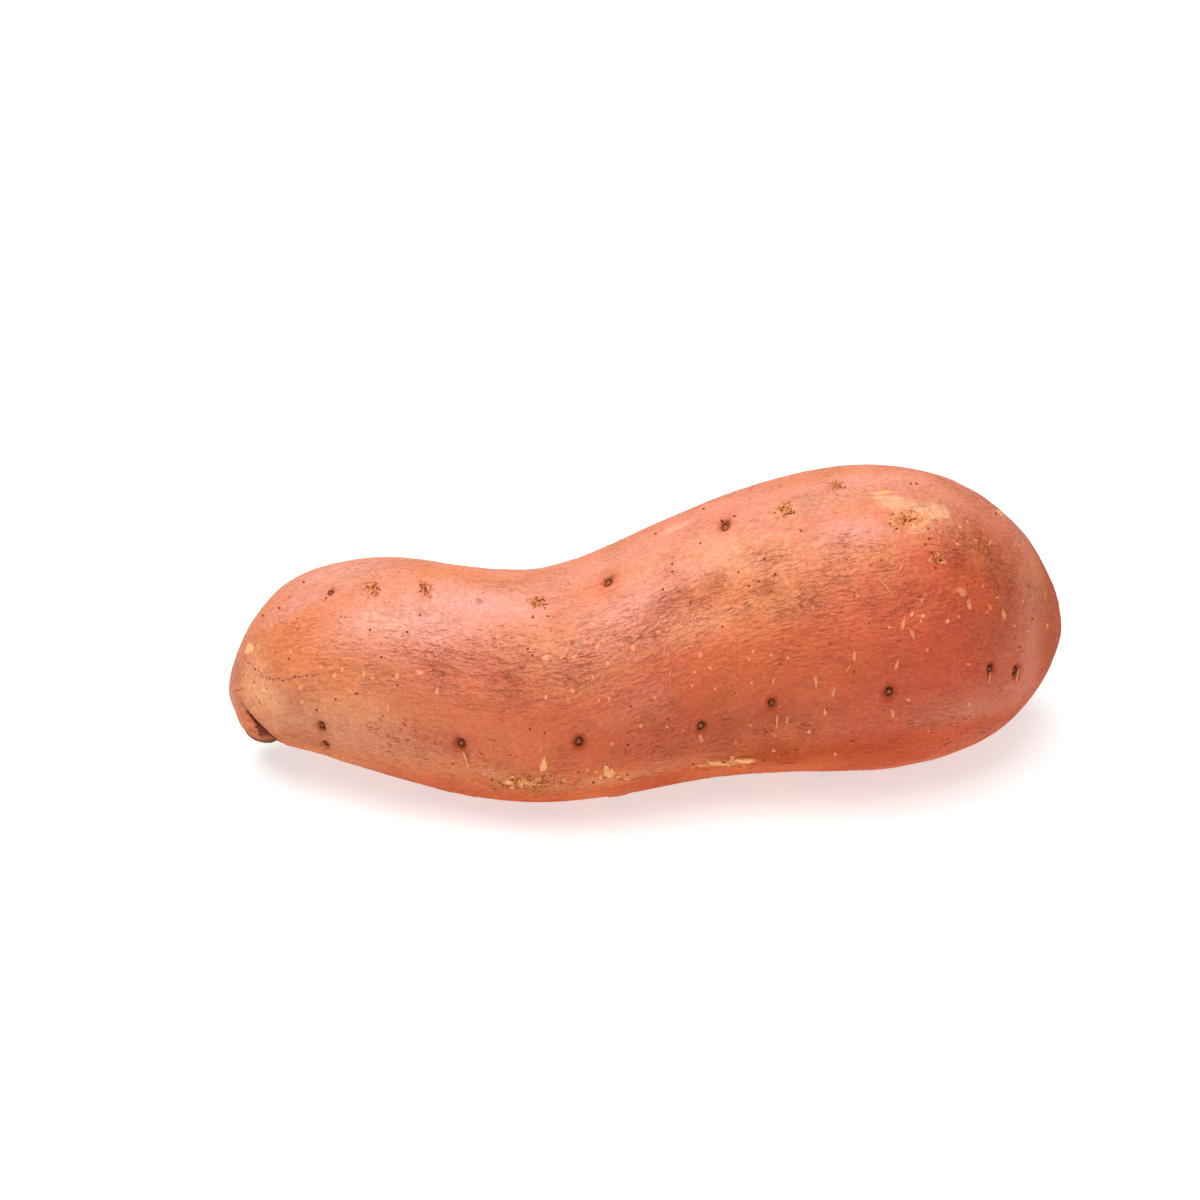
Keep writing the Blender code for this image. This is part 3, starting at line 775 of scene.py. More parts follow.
def mixed(tree, share, first, second, way="MIX"):
    """Two colours mixed by a share."""
    # A mix node lists its colours as its inputs 6 and 7, and its mixed colour as its output 2
    return add(tree, "Mix", {0: share, 6: first, 7: second}, data_type="RGBA", blend_type=way).outputs[2]


def bumped(tree, height, distance, strength, under=None):
    """A normal turned by a height."""
    sockets = {"Height": height, "Distance": distance, "Strength": strength}
    if under is not None:
        sockets["Normal"] = under
    return add(tree, "Bump", sockets).outputs["Normal"]


def new_material(name):
    """An empty material with its shader."""
    made = bpy.data.materials.new(name)
    made.use_nodes = True
    return made, made.node_tree, made.node_tree.nodes["Principled BSDF"]


# Amounts of light that the skin's shader mixes in: factors for its mottling, then colours
MOTTLE_PALE = (1.06, 1.14, 1.16, 1)
MOTTLE_DARK = (0.92, 0.82, 0.78, 1)
FIBRE_PALE = (0.86, 0.38, 0.20, 1)
# Painted shade in the shader's fine cracks
CRACK_SHADOW_BROWN = (0.26, 0.095, 0.045, 1)
SPECK_BROWN = (0.30, 0.085, 0.035, 1)


def skin_material():
    """Thin papery skin: the tint with mottling, fibres, painted shade in cracks, dark specks, and a fine
    grain.
    """
    made, tree, shader = new_material("sweet_potato_skin")
    where = attribute(tree, "straight", "Vector")
    drawn = add(tree, "VectorMath", {0: where, 1: (0.42, 1.0, 1.0)}, operation="MULTIPLY").outputs[0]
    share = between(tree, cloud(tree, where, 1.3, 5.0), 0.32, 0.68, 0.0, 1.0)
    mottle = mixed(tree, share, MOTTLE_PALE, MOTTLE_DARK)
    colour = mixed(tree, 1.0, attribute(tree, "tint", "Color"), mottle, "MULTIPLY")
    fibre = between(tree, cloud(tree, drawn, 2.4, 3.0), 0.52, 0.74, 0.0, 0.18)
    colour = mixed(tree, fibre, colour, FIBRE_PALE)
    bent = {"Vector": drawn, "Scale": 0.95, "Detail": 3.0, "Distortion": 0.5}
    line = worked_out(tree, "COMPARE", add(tree, "TexNoise", bent).outputs["Fac"], 0.5, 0.028)
    broken = between(tree, cloud(tree, where, 0.6, 2.0), 0.46, 0.60, 0.0, 1.0)
    creased = between(tree, attribute(tree, "creased", "Fac"), 0.1, 0.8, 0.12, 1.0)
    crack = worked_out(tree, "MULTIPLY", worked_out(tree, "MULTIPLY", broken, creased), line)
    # Painted shade in the fine cracks: their lines darken the colour
    colour = mixed(tree, worked_out(tree, "MULTIPLY", crack, 0.50), colour, CRACK_SHADOW_BROWN)
    dark = add(tree, "TexVoronoi", {"Vector": where, "Scale": 0.36}, feature="F1")
    chosen = worked_out(tree, "GREATER_THAN", dark.outputs["Color"], 0.55)
    near = between(tree, dark.outputs["Distance"], 0.05, 0.13, 0.55, 0.0)
    colour = mixed(tree, worked_out(tree, "MULTIPLY", chosen, near), colour, SPECK_BROWN)
    tree.links.new(colour, shader.inputs["Base Color"])
    rough = between(tree, cloud(tree, where, 0.8, 3.0), 0.3, 0.7, 0.42, 0.58)
    rough = worked_out(tree, "MAXIMUM", rough, attribute(tree, "dull", "Fac"))
    tree.links.new(rough, shader.inputs["Roughness"])
    wrinkle = bumped(tree, cloud(tree, drawn, 1.2, 5.0), 0.00055, 0.85)
    ridged = worked_out(tree, "SUBTRACT", cloud(tree, drawn, 0.8, 4.0), 0.5)
    ridged = worked_out(tree, "MULTIPLY", worked_out(tree, "ABSOLUTE", ridged), creased)
    ridge = bumped(tree, ridged, 0.0032, 0.95, wrinkle)
    cut = bumped(tree, worked_out(tree, "MULTIPLY", crack, -1.0), 0.00012, 0.8, ridge)
    grain = bumped(tree, cloud(tree, where, 4.0, 4.0), 0.00012, 0.7, cut)
    tree.links.new(grain, shader.inputs["Normal"])
    tree.links.new(between(tree, rough, 0.55, 0.82, 0.32, 0.12), shader.inputs["Specular IOR Level"])
    return made


def cork_material(name, roughness, grain):
    """Dry crumbly cork: the tint, mottled in small grains, with a rough surface."""
    made, tree, shader = new_material(name)
    where = add(tree, "TexCoord", {}).outputs["Object"]
    mottle = between(tree, cloud(tree, where, 1500.0, 3.0), 0.3, 0.7, 1 - grain, 1 + grain)
    colour = mixed(tree, 1.0, attribute(tree, "tint", "Color"), mottle, "MULTIPLY")
    tree.links.new(colour, shader.inputs["Base Color"])
    shader.inputs["Roughness"].default_value = roughness
    shader.inputs["Specular IOR Level"].default_value = 0.12
    tree.links.new(bumped(tree, cloud(tree, where, 2600.0, 2.0), 0.00008, 0.6), shader.inputs["Normal"])
    return made


# Making pieces

def ring_faces(rings, columns):
    """Corners of the faces of a closed tube of rings, ring after ring, faces outwards."""
    ring, column = np.meshgrid(np.arange(rings - 1), np.arange(columns), indexing="ij")
    ring, column = ring.ravel(), column.ravel()
    following = (column + 1) % columns
    here = ring * columns
    ahead = here + columns
    return np.stack([here + column, here + following, ahead + following, ahead + column], axis=1)


def without_spares(faces):
    """The points that the faces use, and the faces numbered by them, without corners that come twice."""
    kept = np.unique(faces)
    return kept, [tuple(dict.fromkeys(f)) for f in np.searchsorted(kept, faces).tolist()]


def make_piece(name, points, faces, tint, material):
    """An object from points in millimetres, faces of four or three corners, and a colour for each."""
    mesh = bpy.data.meshes.new(name)
    mesh.from_pydata((points * MM).tolist(), [], faces)
    colours = mesh.attributes.new("tint", "FLOAT_COLOR", "POINT")
    four = np.concatenate([np.clip(tint, 0, 1), np.ones((len(points), 1))], axis=1)
    colours.data.foreach_set("color", four.astype(np.float32).ravel())
    mesh.shade_smooth()
    mesh.materials.append(material)
    made = bpy.data.objects.new(name, mesh)
    bpy.context.scene.collection.objects.link(made)
    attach(made, "root")
    return made


def add_attribute(piece, name, kind, values):
    """A further value for each point of the piece's mesh."""
    made = piece.data.attributes.new(name, kind, "POINT")
    field = "vector" if kind == "FLOAT_VECTOR" else "value"
    made.data.foreach_set(field, values.astype(np.float32).ravel())


def dullness(reach, around):
    """Least roughness of the skin: high in the eyes, on cork, in the fold, on the scar and underneath."""
    dull = np.zeros(len(reach))
    for eye in PIT_EYES + BACK_EYES + CORK_EYES:
        near = np.abs(reach - eye[0]) < PIT_MARKS
        spread = np.hypot(*eye_distance(reach[near], around[near], eye))
        dull[near] = np.maximum(dull[near], 0.8 * smooth((1.5 - spread) / 0.5))
    towards_stub, strength = fold_side(reach, around)
    dull = np.maximum(dull, 0.85 * strength * smooth(towards_stub) * smooth((14 - towards_stub) / 3))
    faces_down = smooth(0.35 - 1.5 * outward(reach, around)[:, 2])
    at_tail = smooth((reach - 186) / 18)
    dull = np.maximum(dull, 0.8 * np.maximum(faces_down, 0.9 * at_tail))
    return np.maximum(dull, 0.85 * smooth((SCAR_RADIUS + 1.5 - reach) / 1.5))


def make_skin():
    """The skin in bands that share the points and normals of the rings where they meet."""
    tint = skin_tint(grid_reach, grid_around)
    round_section = np.stack([0 * grid_around, np.cos(grid_around), np.sin(grid_around)], axis=1)
    place = straight(grid_reach, grid_around) + grid_relief[:, None] * round_section
    dull = dullness(grid_reach, grid_around)
    creased = crease_strength(grid_reach, grid_around)
    material = skin_material()
    for band, name in enumerate(BANDS):
        first = band * ROWS_PER_BAND
        last = first + ROWS_PER_BAND
        span = slice(first * COLUMNS, (last + 1) * COLUMNS)
        faces = ring_faces(ROWS_PER_BAND + 1, COLUMNS)
        count = (ROWS_PER_BAND + 1) * COLUMNS
        used = np.arange(count)
        if band == 0:
            used[:COLUMNS] = COLUMNS - 1
        if band == len(BANDS) - 1:
            used[-COLUMNS:] = count - COLUMNS
        kept, corners = without_spares(used[faces])
        corners = sorted((f for f in corners if len(f) > 2), key=len, reverse=True)
        piece = make_piece(name, grid_points[span][kept], corners, tint[span][kept], material)
        add_attribute(piece, "straight", "FLOAT_VECTOR", place[span][kept])
        add_attribute(piece, "dull", "FLOAT", dull[span][kept])
        add_attribute(piece, "creased", "FLOAT", creased[span][kept])
        piece.data.normals_split_custom_set_from_vertices(grid_normal[span][kept].tolist())
        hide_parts("sweet_potato")


# Rings of a spot, from near its middle to its rim, and how deep the rim is sunk into the skin
SPOT_RINGS = np.array((0.0, 0.4, 0.7, 0.88, 1.0))
SUNK = 0.06
# Waves of a spot's rim, as how many there are round it and how far they go in and out
RIM_WAVES = ((2, 0.14), (3, 0.13), (5, 0.08))
RAGGED_WAVES = ((7, 1.0), (11, 0.7))
BOW_MIDDLE = 0.4


def spots(name, seats, colour, material, flat, steep, soft,
          shades=False, bow=0.0, columns=12, ragged=0.0):
    """Many small lumps in one piece, each a grid of rings over the skin.

    A seat is reach, around, a first half axis along and across the root, a second one, height and colour
    shift. At angle a and share r of the way to the rim a point lies r x (first cos a + second sin a) from
    the middle, times a rim that waves in and out, and height x (1 - r^flat)^steep over the skin. The
    colour goes to that of the skin over the last part, soft, of the way to the rim. Where the spots are
    shades, the colour is the share of the skin's own colour that is left. Bow is how much a spot's first
    axis bends to one side, and ragged how far small waves of the rim go in and out.
    """
    seats = np.array(seats, float)
    reach, around, *axes, height, shift = seats.T[:, :, None, None]
    first_along, first_across, second_along, second_across = axes
    rng = np.random.default_rng(len(name))
    starts = rng.uniform(0, 2 * math.pi, (len(RIM_WAVES + RAGGED_WAVES), len(seats), 1, 1))
    angle = 2 * math.pi * np.arange(columns)[None, None, :] / columns
    ring = SPOT_RINGS[None, :, None]
    waves = RIM_WAVES + tuple((lobes, ragged * depth) for lobes, depth in RAGGED_WAVES)
    rim = 1
    for (lobes, depth), start in zip(waves, starts):
        rim = rim + depth * np.sin(lobes * angle + start)
    share = ring * rim * np.cos(angle)
    side = rng.normal(0, 1, (len(seats), 1, 1)) * bow * (share ** 2 - BOW_MIDDLE)
    along = share * first_along + ring * rim * second_along * np.sin(angle) - side * first_across
    across = share * first_across + ring * rim * second_across * np.sin(angle) + side * first_along
    radius = mean_radius(seats[:, 0])[:, None, None]
    lift = height * (1 - ring ** flat) ** steep - SUNK * ring ** 4 + 0 * angle
    at_reach = np.clip(reach + along, 0, ROOT_REACH).ravel()
    at_around = (around + across / radius).ravel()
    points = skin_points(at_reach, at_around, lift.ravel())
    below = skin_tint(seats[:, 0], seats[:, 1])
    own = np.array(colour) * (below if shades else 1)
    own = np.clip(own * (1 + shift[:, 0, 0, None]), 0, 1)
    share = smooth((1 - SPOT_RINGS) / soft)[None, :, None, None]
    tint = below[:, None, None, :] * (1 - share) + own[:, None, None, :] * share
    tint = np.broadcast_to(tint, (len(seats), len(SPOT_RINGS), columns, 3)).reshape(-1, 3)
    one = ring_faces(len(SPOT_RINGS), columns)[:, ::-1]
    each = len(SPOT_RINGS) * columns
    faces = (one[None] + each * np.arange(len(seats))[:, None, None]).reshape(-1, 4)
    middle = faces % each < columns
    kept, corners = without_spares(np.where(middle, faces // each * each, faces))
    return make_piece(name, points[kept], corners, tint[kept], material)


def turned_axes(long, wide, turn):
    """The two half axes of an ellipse whose long axis is turned away from the root's."""
    return [long * np.cos(turn), long * np.sin(turn), -wide * np.sin(turn), wide * np.cos(turn)]


def random_seats(count, seed, sizes, longer, heights):
    """Seats over the whole skin, of sizes between two bounds and drawn out across the root."""
    reach, around = scatter(count, seed)
    rng = np.random.default_rng(seed + 1)
    count = len(reach)
    long = rng.uniform(*sizes, count)
    axes = turned_axes(long, long * rng.uniform(1, longer, count), rng.normal(0, 0.35, count))
    rest = [rng.uniform(*heights, count), rng.normal(0, 0.08, count)]
    return np.stack([reach, around, *axes, *rest], 1)


def on_screen(reach, around):
    """How many pixels right and down a millimetre along the root and one across it go, as a 2 x 2."""
    radius = mean_radius(reach)
    ways = []
    for along, across in ((0.5, 0), (0, 0.5)):
        ahead = seen_by_camera(bare_skin(reach + along, around + across / radius) - MIDDLE)
        behind = seen_by_camera(bare_skin(reach - along, around - across / radius) - MIDDLE)
        ways.append(np.stack([ahead[0] - behind[0], ahead[1] - behind[1]], axis=-1))
    return np.stack(ways, axis=-1)


# How much seats without a lean of their own lean, in degrees, and how many times longer than it looks a
# seat may get where the skin turns away from the camera
LEAN_SPREAD = 8
MOST_STRETCH = 2.4


def pixel_seats(pixels, height, seed):
    """Seats that look as wide and tall as given in pixels, and as leant in degrees, from the camera."""
    rng = np.random.default_rng(seed)
    pixels = np.array([(*p, rng.normal(0, LEAN_SPREAD))[:5] for p in pixels], float)
    reach, around = places_of(pixels)
    lean = np.radians(pixels[:, 4])
    half = pixels[:, 2:4].T / 2
    on_skin = np.linalg.inv(on_screen(reach, around))
    wide = np.stack([half[0] * np.cos(lean), half[0] * np.sin(lean)], axis=-1)
    tall = np.stack([-half[1] * np.sin(lean), half[1] * np.cos(lean)], axis=-1)
    first = np.einsum("nij,nj->ni", on_skin, wide)
    second = np.einsum("nij,nj->ni", on_skin, tall)
    largest = MOST_STRETCH * half / PIXELS_PER_MM
    first *= np.minimum(1, largest[0] / np.linalg.norm(first, axis=1))[:, None]
    second *= np.minimum(1, largest[1] / np.linalg.norm(second, axis=1))[:, None]
    flip = np.sign(first[:, 0] * second[:, 1] - first[:, 1] * second[:, 0])[:, None]
    rest = np.stack([np.full(len(reach), height), rng.normal(0, 0.06, len(reach))], 1)
    return np.concatenate([reach[:, None], around[:, None], first, second * flip, rest], axis=1)


# Pale raised dots: pixel, width and height in pixels
DOTS = (
    (436, 692, 5, 8), (545, 658, 9, 9), (574, 657, 6, 7), (597, 646, 6, 8), (634, 649, 5, 8),
    (608, 663, 6, 6), (594, 677, 5, 6), (573, 691, 6, 6), (568, 702, 4, 6), (545, 698, 5, 7),
    (598, 701, 4, 5), (609, 700, 5, 7), (612, 744, 5, 6), (535, 745, 4, 4), (587, 770, 4, 5),
    (560, 776, 5, 4), (420, 673, 11, 9), (498, 636, 8, 5), (659, 631, 6, 6), (700, 654, 8, 8),
    (696, 672, 5, 5), (693, 686, 4, 4), (711, 669, 5, 5), (748, 660, 5, 5), (771, 656, 5, 5),
    (787, 658, 5, 5), (751, 684, 5, 5), (633, 649, 5, 7), (655, 699, 4, 7, -30), (641, 726, 5, 5),
    (667, 727, 4, 4), (825, 713, 6, 8), (808, 732, 6, 6), (835, 754, 5, 5), (774, 751, 5, 5),
    (700, 738, 4, 5), (776, 727, 4, 4), (777, 718, 4, 5), (857, 597, 5, 6), (890, 628, 5, 5),
    (924, 616, 6, 6), (948, 621, 6, 6), (927, 650, 5, 5), (968, 664, 7, 4), (909, 700, 6, 5),
    (969, 705, 6, 5), (1014, 626, 5, 6), (1029, 631, 5, 5), (1005, 615, 5, 12), (991, 608, 3, 7),
    (998, 598, 4, 4), (977, 541, 4, 4), (991, 542, 4, 7), (960, 616, 4, 4), (1048, 626, 4, 7),
    (318, 614, 4, 6), (271, 624, 5, 8), (289, 652, 4, 7), (321, 667, 4, 7), (342, 670, 4, 8),
    (363, 675, 5, 10), (372, 680, 4, 7), (397, 677, 8, 8), (315, 684, 4, 7), (300, 688, 8, 9),
    (303, 702, 6, 5), (325, 709, 5, 5), (388, 710, 4, 9), (350, 693, 4, 5),
)
# Long pale scars: pixel, width and height in pixels, lean in degrees
DASHES = (
    (671, 674, 2.4, 13, 14), (774, 681, 3.4, 10, 8), (815, 683, 4.5, 16, -6), (833, 693, 4.5, 15, 20),
    (665, 650, 1.8, 16, 6), (904.5, 624, 5.5, 18, 18), (912.5, 635, 4.5, 15, -14),
    (853.5, 657, 4.5, 15, 6), (897, 666, 4.5, 13, 25), (902, 567, 3, 9, 32), (970, 605, 5, 13, -25),
    (787, 720, 4, 10, 0), (668, 612, 3, 7, 0), (893.3, 714.5, 4.5, 15, -6), (1004, 614, 5, 13, 0),
    (991, 607, 3, 8, -25), (702, 738, 4, 6, 0), (848, 669, 2.5, 10, 30),
)
# Flakes of torn skin: pixel, width and height in pixels, lean in degrees
FLAKES = (
    (543, 767, 8, 14, 0), (249, 648, 8, 13, 10), (610, 774, 10, 11, 30), (720, 764, 24, 4, 4),
    (745, 762, 24, 4, -3), (884, 492, 20, 3.5, -6), (606, 768, 7, 6, 0), (508, 783, 9, 4, 10),
)
GREY_FLAKES = (
    (962, 592, 12, 11, 20), (970, 604, 6, 13, -20), (300, 689, 8, 8, 0), (938, 557, 7, 7, 0),
    (931, 560, 6, 6, 0), (943, 562, 5, 5, 0), (775, 735, 6, 6, 0), (702, 741, 6, 7, 0),
)
# Dark grains, by their pixels
GRAINS = (
    (407, 741), (530, 729), (545, 734), (533, 617), (547, 615), (594, 783), (578, 773), (628, 746),
    (631, 707), (420, 614), (407, 632), (527, 648), (532, 655), (668, 720), (693, 765), (764, 761),
    (826, 710), (606, 766), (996, 513), (853, 672), (704, 508), (735, 515), (701, 543), (672, 563),
    (672, 571), (663, 589), (690, 602), (775, 573), (764, 559), (759, 581), (749, 586), (655, 533),
    (800, 530), (738, 572), (303, 581), (330, 591), (326, 598), (279, 607), (262, 615), (245, 635),
    (289, 658), (381, 658), (356, 694), (336, 700), (317, 710), (370, 629), (896, 529), (907, 519),
    (912, 518), (916, 519), (930, 538), (926, 544), (929, 528), (904, 524), (911, 483), (917, 483),
    (722, 521), (782, 509), (794, 513), (1020, 648), (1033, 618),
)
# Cracks, from pixel to pixel and their width in pixels
CRACKS = (
    (369.5, 629.5, 372, 628, 2), (380.5, 637, 392, 636, 1.6), (378.6, 641, 388, 645, 1.6),
    (387, 645, 402, 647, 1.6), (386, 650, 398, 655, 1.8), (397, 655, 411, 654.5, 1.8),
    (378.6, 658, 383, 656.5, 2.4), (404, 631, 410, 633, 2), (304.6, 630, 313, 630, 1.4),
    (525, 598, 530, 604, 2.4), (529, 603, 537, 607, 2.8), (536, 606, 547, 602, 2.2),
    (532, 604, 534, 600, 2), (530, 673.5, 540, 675, 1.8), (539, 675, 554, 674, 1.8),
    (617, 617.5, 628, 617, 1.6), (626, 617, 639, 620, 1.6), (643.6, 625, 649, 615, 3),
    (640, 646, 650, 642, 1.8), (713, 587, 722, 581, 1.8), (739, 581, 748, 586, 1.6),
    (747, 585.6, 757, 583, 1.8), (756, 583, 761, 579, 1.8), (715, 594, 722, 590.5, 1.6),
    (721, 591, 730, 588, 1.6), (724, 610, 732, 604, 1.6), (727, 613, 733, 607, 1.4),
    (730, 615, 737, 609, 1.4), (700, 598.5, 711, 594, 1.6), (255.5, 695, 258, 700, 1.8),
    (258, 700, 262, 708, 2.4), (232, 692, 240, 689, 2.6), (236, 690, 244, 684, 2),
    (246, 728, 253, 732, 2.6), (252, 731.5, 259, 735, 3), (258, 734, 265, 737, 2.6),
    (245.5, 720, 249, 719.5, 1.8), (248.5, 719.5, 252, 723, 1.8), (511, 634, 530, 638, 1.6),
    (459, 638, 482, 642, 1.5), (488, 637, 507, 634, 1.5), (525, 626.5, 539, 624, 1.5),
    (425, 649.5, 444, 647, 1.5), (443, 647, 464, 652, 1.5), (459, 660, 476, 663.5, 1.4),
    (416, 668, 426, 672.5, 1.8), (425, 672.5, 438, 668.6, 1.8), (433, 751, 446, 759, 1.5),
    (484, 736, 500, 744, 1.4), (627, 713, 635, 708, 2), (622, 746, 626, 759, 1.8),
    (635, 746, 645, 744, 1.5), (659, 729, 668, 719.5, 1.8), (721, 719.6, 734, 718.4, 1.5),
    (489, 790, 502, 792, 2), (875, 545, 886, 544.6, 1.8), (825, 553.4, 836, 555.5, 2),
    (821, 585, 838, 582.7, 1.6), (838, 591, 850, 589, 1.6), (943, 745, 953, 741.7, 2.4),
    (949.8, 718.3, 957, 718.3, 2.4), (982, 721, 987, 718, 2), (1018, 653.8, 1027, 648.6, 1.5),
    (848, 731, 857, 736, 1.6), (848, 740, 857, 744, 1.8), (695, 749, 700, 753, 2),
    (702, 753, 707, 748, 1.6), (421.7, 628, 434, 634, 1.5), (434, 634, 441, 631.5, 1.5),
    (437.6, 630, 445, 629.4, 1.5), (425, 635, 437, 634.8, 1.5), (776, 764, 800, 763, 1.4),
    (720, 759, 738, 757, 1.8), (738, 757, 758, 758, 1.8), (604, 769, 612, 768, 1.6),
    (612, 780, 622, 781, 1.6), (893, 480, 901, 482, 1.6), (911, 482, 921, 485, 1.8),
    (986, 505, 991, 509, 1.8), (1041, 675, 1044, 668, 1.8),
)
# Fields of cracks: middle and half sizes in pixels, lean, length in pixels, how many
CRACK_FIELDS = (
    (395, 645, 30, 14, 5, 9, 22), (440, 652, 32, 18, 5, 9, 30), (500, 640, 38, 18, 4, 8, 32),
    (560, 655, 38, 16, 0, 9, 30), (620, 637, 32, 18, -5, 8, 28), (662, 622, 22, 16, -25, 7, 24),
    (705, 612, 32, 14, -16, 8, 24), (762, 592, 28, 16, -20, 7, 24), (820, 592, 38, 22, -8, 8, 34),
    (850, 562, 32, 16, -5, 7, 22), (390, 735, 44, 18, 28, 9, 40), (470, 758, 55, 16, 16, 9, 26),
    (640, 742, 44, 22, -30, 7, 20), (960, 728, 32, 16, -22, 7, 22), (800, 735, 55, 20, -5, 7, 26),
    (320, 620, 34, 20, 8, 6, 18), (980, 580, 34, 34, 60, 5, 20), (540, 783, 50, 8, 5, 8, 30),
    (740, 766, 60, 8, -4, 8, 18), (600, 600, 90, 26, 0, 6, 24), (440, 590, 80, 20, 0, 6, 16),
)
# Crusts of crumbs: middle and half sizes in pixels, how many
CRUSTS = (
    (520, 782, 44, 7, 60), (612, 777, 16, 6, 16), (727, 763, 28, 4, 18), (905, 522, 14, 7, 12),
)
# The scratch near the stem end, from pixel to pixel
SCRATCH = ((244, 658), (255, 668), (267, 678.6), (284, 680), (302, 677), (319, 675))


# Crumbs of an eye lie in so many clusters, and both spread by these shares of the crumbs' reach
CLUSTERS = 4
CLUSTER_SPREAD = 0.42
CRUMB_SPREAD = 0.26
CRUMB_HEIGHTS = (0.4, 0.8)


def crumbs_round(eyes, count, reach_out, sizes, seed):
    """Seats of crumbs round each eye, crowded in a few uneven clusters."""
    rng = np.random.default_rng(seed)
    seats = []
    for eye_reach, eye_around, size in eyes:
        radius = radius_at(eye_reach)
        clusters = rng.normal(0, CLUSTER_SPREAD, (CLUSTERS, 2))
        away = clusters[rng.integers(CLUSTERS, size=count)] + rng.normal(0, CRUMB_SPREAD, (count, 2))
        away *= reach_out * size
        reach = eye_reach + away[:, 0] * EYE_ALONG
        around = math.radians(eye_around) + away[:, 1] * EYE_ACROSS * 0.8 / radius
        long = rng.uniform(*sizes, count)
        axes = turned_axes(long, long * rng.uniform(0.5, 1.0, count), rng.uniform(0, math.pi, count))
        tall = long * rng.uniform(*CRUMB_HEIGHTS, count)
        seats.append(np.stack([reach, around, *axes, tall, rng.normal(0, 0.25, count)], 1))
    return np.concatenate(seats)


# The crumbs that ring an eye: how many, and how far out, in eye sizes
RIM_CRUMBS = 15
RIM_PLACE = 0.52


def rim_seats(eyes, seed):
    """Seats of the dark crumbs that ring each eye, drawn out round it, with a few left out."""
    rng = np.random.default_rng(seed)
    seats = []
    for eye_reach, eye_around, size in eyes:
        angle = 2 * math.pi * (np.arange(RIM_CRUMBS) + rng.uniform(-0.3, 0.3, RIM_CRUMBS)) / RIM_CRUMBS
        angle = angle[rng.uniform(0, 1, RIM_CRUMBS) > 0.1]
        count = len(angle)
        out = RIM_PLACE * size * rng.uniform(0.86, 1.14, count)
        along = out * EYE_ALONG * np.cos(angle)
        across = out * EYE_ACROSS * np.sin(angle)
        turn = np.arctan2(EYE_ACROSS * np.cos(angle), -EYE_ALONG * np.sin(angle))
        turn = turn + rng.normal(0, 0.25, count)
        long = size * rng.uniform(0.22, 0.36, count)
        axes = turned_axes(long, size * rng.uniform(0.11, 0.19, count), turn)
        around = math.radians(eye_around) + across / radius_at(eye_reach)
        rest = [rng.uniform(0.06, 0.14, count), rng.normal(0, 0.2, count)]
        seats.append(np.stack([eye_reach + along, around, *axes, *rest], 1))
    return np.concatenate(seats)


def plug_seats(eyes, seed):
    """Seats of the brown plug in the middle of each eye."""
    rng = np.random.default_rng(seed)
    reach, around, size = np.array(eyes).T
    axes = turned_axes(0.42 * size, 0.50 * size, rng.normal(0, 0.2, len(size)))
    rest = [0.12 * size, rng.normal(0, 0.12, len(size))]
    return np.stack([reach, np.radians(around), *axes, *rest], 1)


def line_seats(pixels, gap, sizes, seed):
    """Seats of grains in a row along a line through the photograph's pixels."""
    rng = np.random.default_rng(seed)
    corners = np.array(pixels, float)
    way = np.concatenate([[0], np.cumsum(np.linalg.norm(np.diff(corners, axis=0), axis=1))])
    steps = np.arange(0, way[-1], gap)
    steps = steps + rng.uniform(-0.3, 0.3, len(steps)) * gap
    columns = np.interp(steps, way, corners[:, 0]) + rng.normal(0, 0.5, len(steps))
    rows = np.interp(steps, way, corners[:, 1]) + rng.normal(0, 0.5, len(steps))
    long = rng.uniform(*sizes, len(steps))
    places = np.array([place_of(*p) for p in zip(columns, rows)])
    axes = turned_axes(long, long * 0.8, rng.uniform(0, 3, len(steps)))
    rest = [*axes, long * 0.4, rng.normal(0, 0.25, len(steps))]
    return np.concatenate([places, np.stack(rest, 1)], axis=1)


# How many cracks are drawn over the whole skin for the sides that it doesn't show, and how high all stand
HIDDEN_CRACKS = 900
CRACK_HEIGHT = 0.05
CRUMB_HEIGHT = 0.16


def crack_seats(seed):
    """Seats of the photograph's cracks and fields of cracks, and of more on the sides it doesn't show."""
    rng = np.random.default_rng(seed)
    pixels = []
    for start_column, start_row, end_column, end_row, wide in CRACKS:
        long = math.hypot(end_column - start_column, end_row - start_row)
        lean = math.degrees(math.atan2(end_row - start_row, end_column - start_column))
        middle = ((start_column + end_column) / 2, (start_row + end_row) / 2)
        pixels.append((*middle, 1.2 * long, wide, lean))
    for column, row, half_long, half_tall, lean, length, count in CRACK_FIELDS:
        away = np.clip(rng.normal(0, 0.5, (count, 2)), -1, 1) * (half_long, half_tall) + (column, row)
        long = length * rng.uniform(0.3, 1.2, count)
        wide = rng.uniform(1.2, 2.4, count)
        pixels += zip(*away.T, long, wide, lean + rng.normal(0, 20, count))
    reach, around = scatter(HIDDEN_CRACKS, seed + 1)
    hidden = ~to_camera(around)
    reach, around = reach[hidden], around[hidden]
    count = len(reach)
    long = rng.uniform(0.4, 1.4, count)
    axes = turned_axes(long, rng.uniform(0.08, 0.17, count), rng.normal(0, 0.3, count))
    others = np.stack([reach, around, *axes, np.full(count, CRACK_HEIGHT), rng.normal(0, 0.1, count)], 1)
    return np.concatenate([pixel_seats(pixels, CRACK_HEIGHT, seed + 2), others])


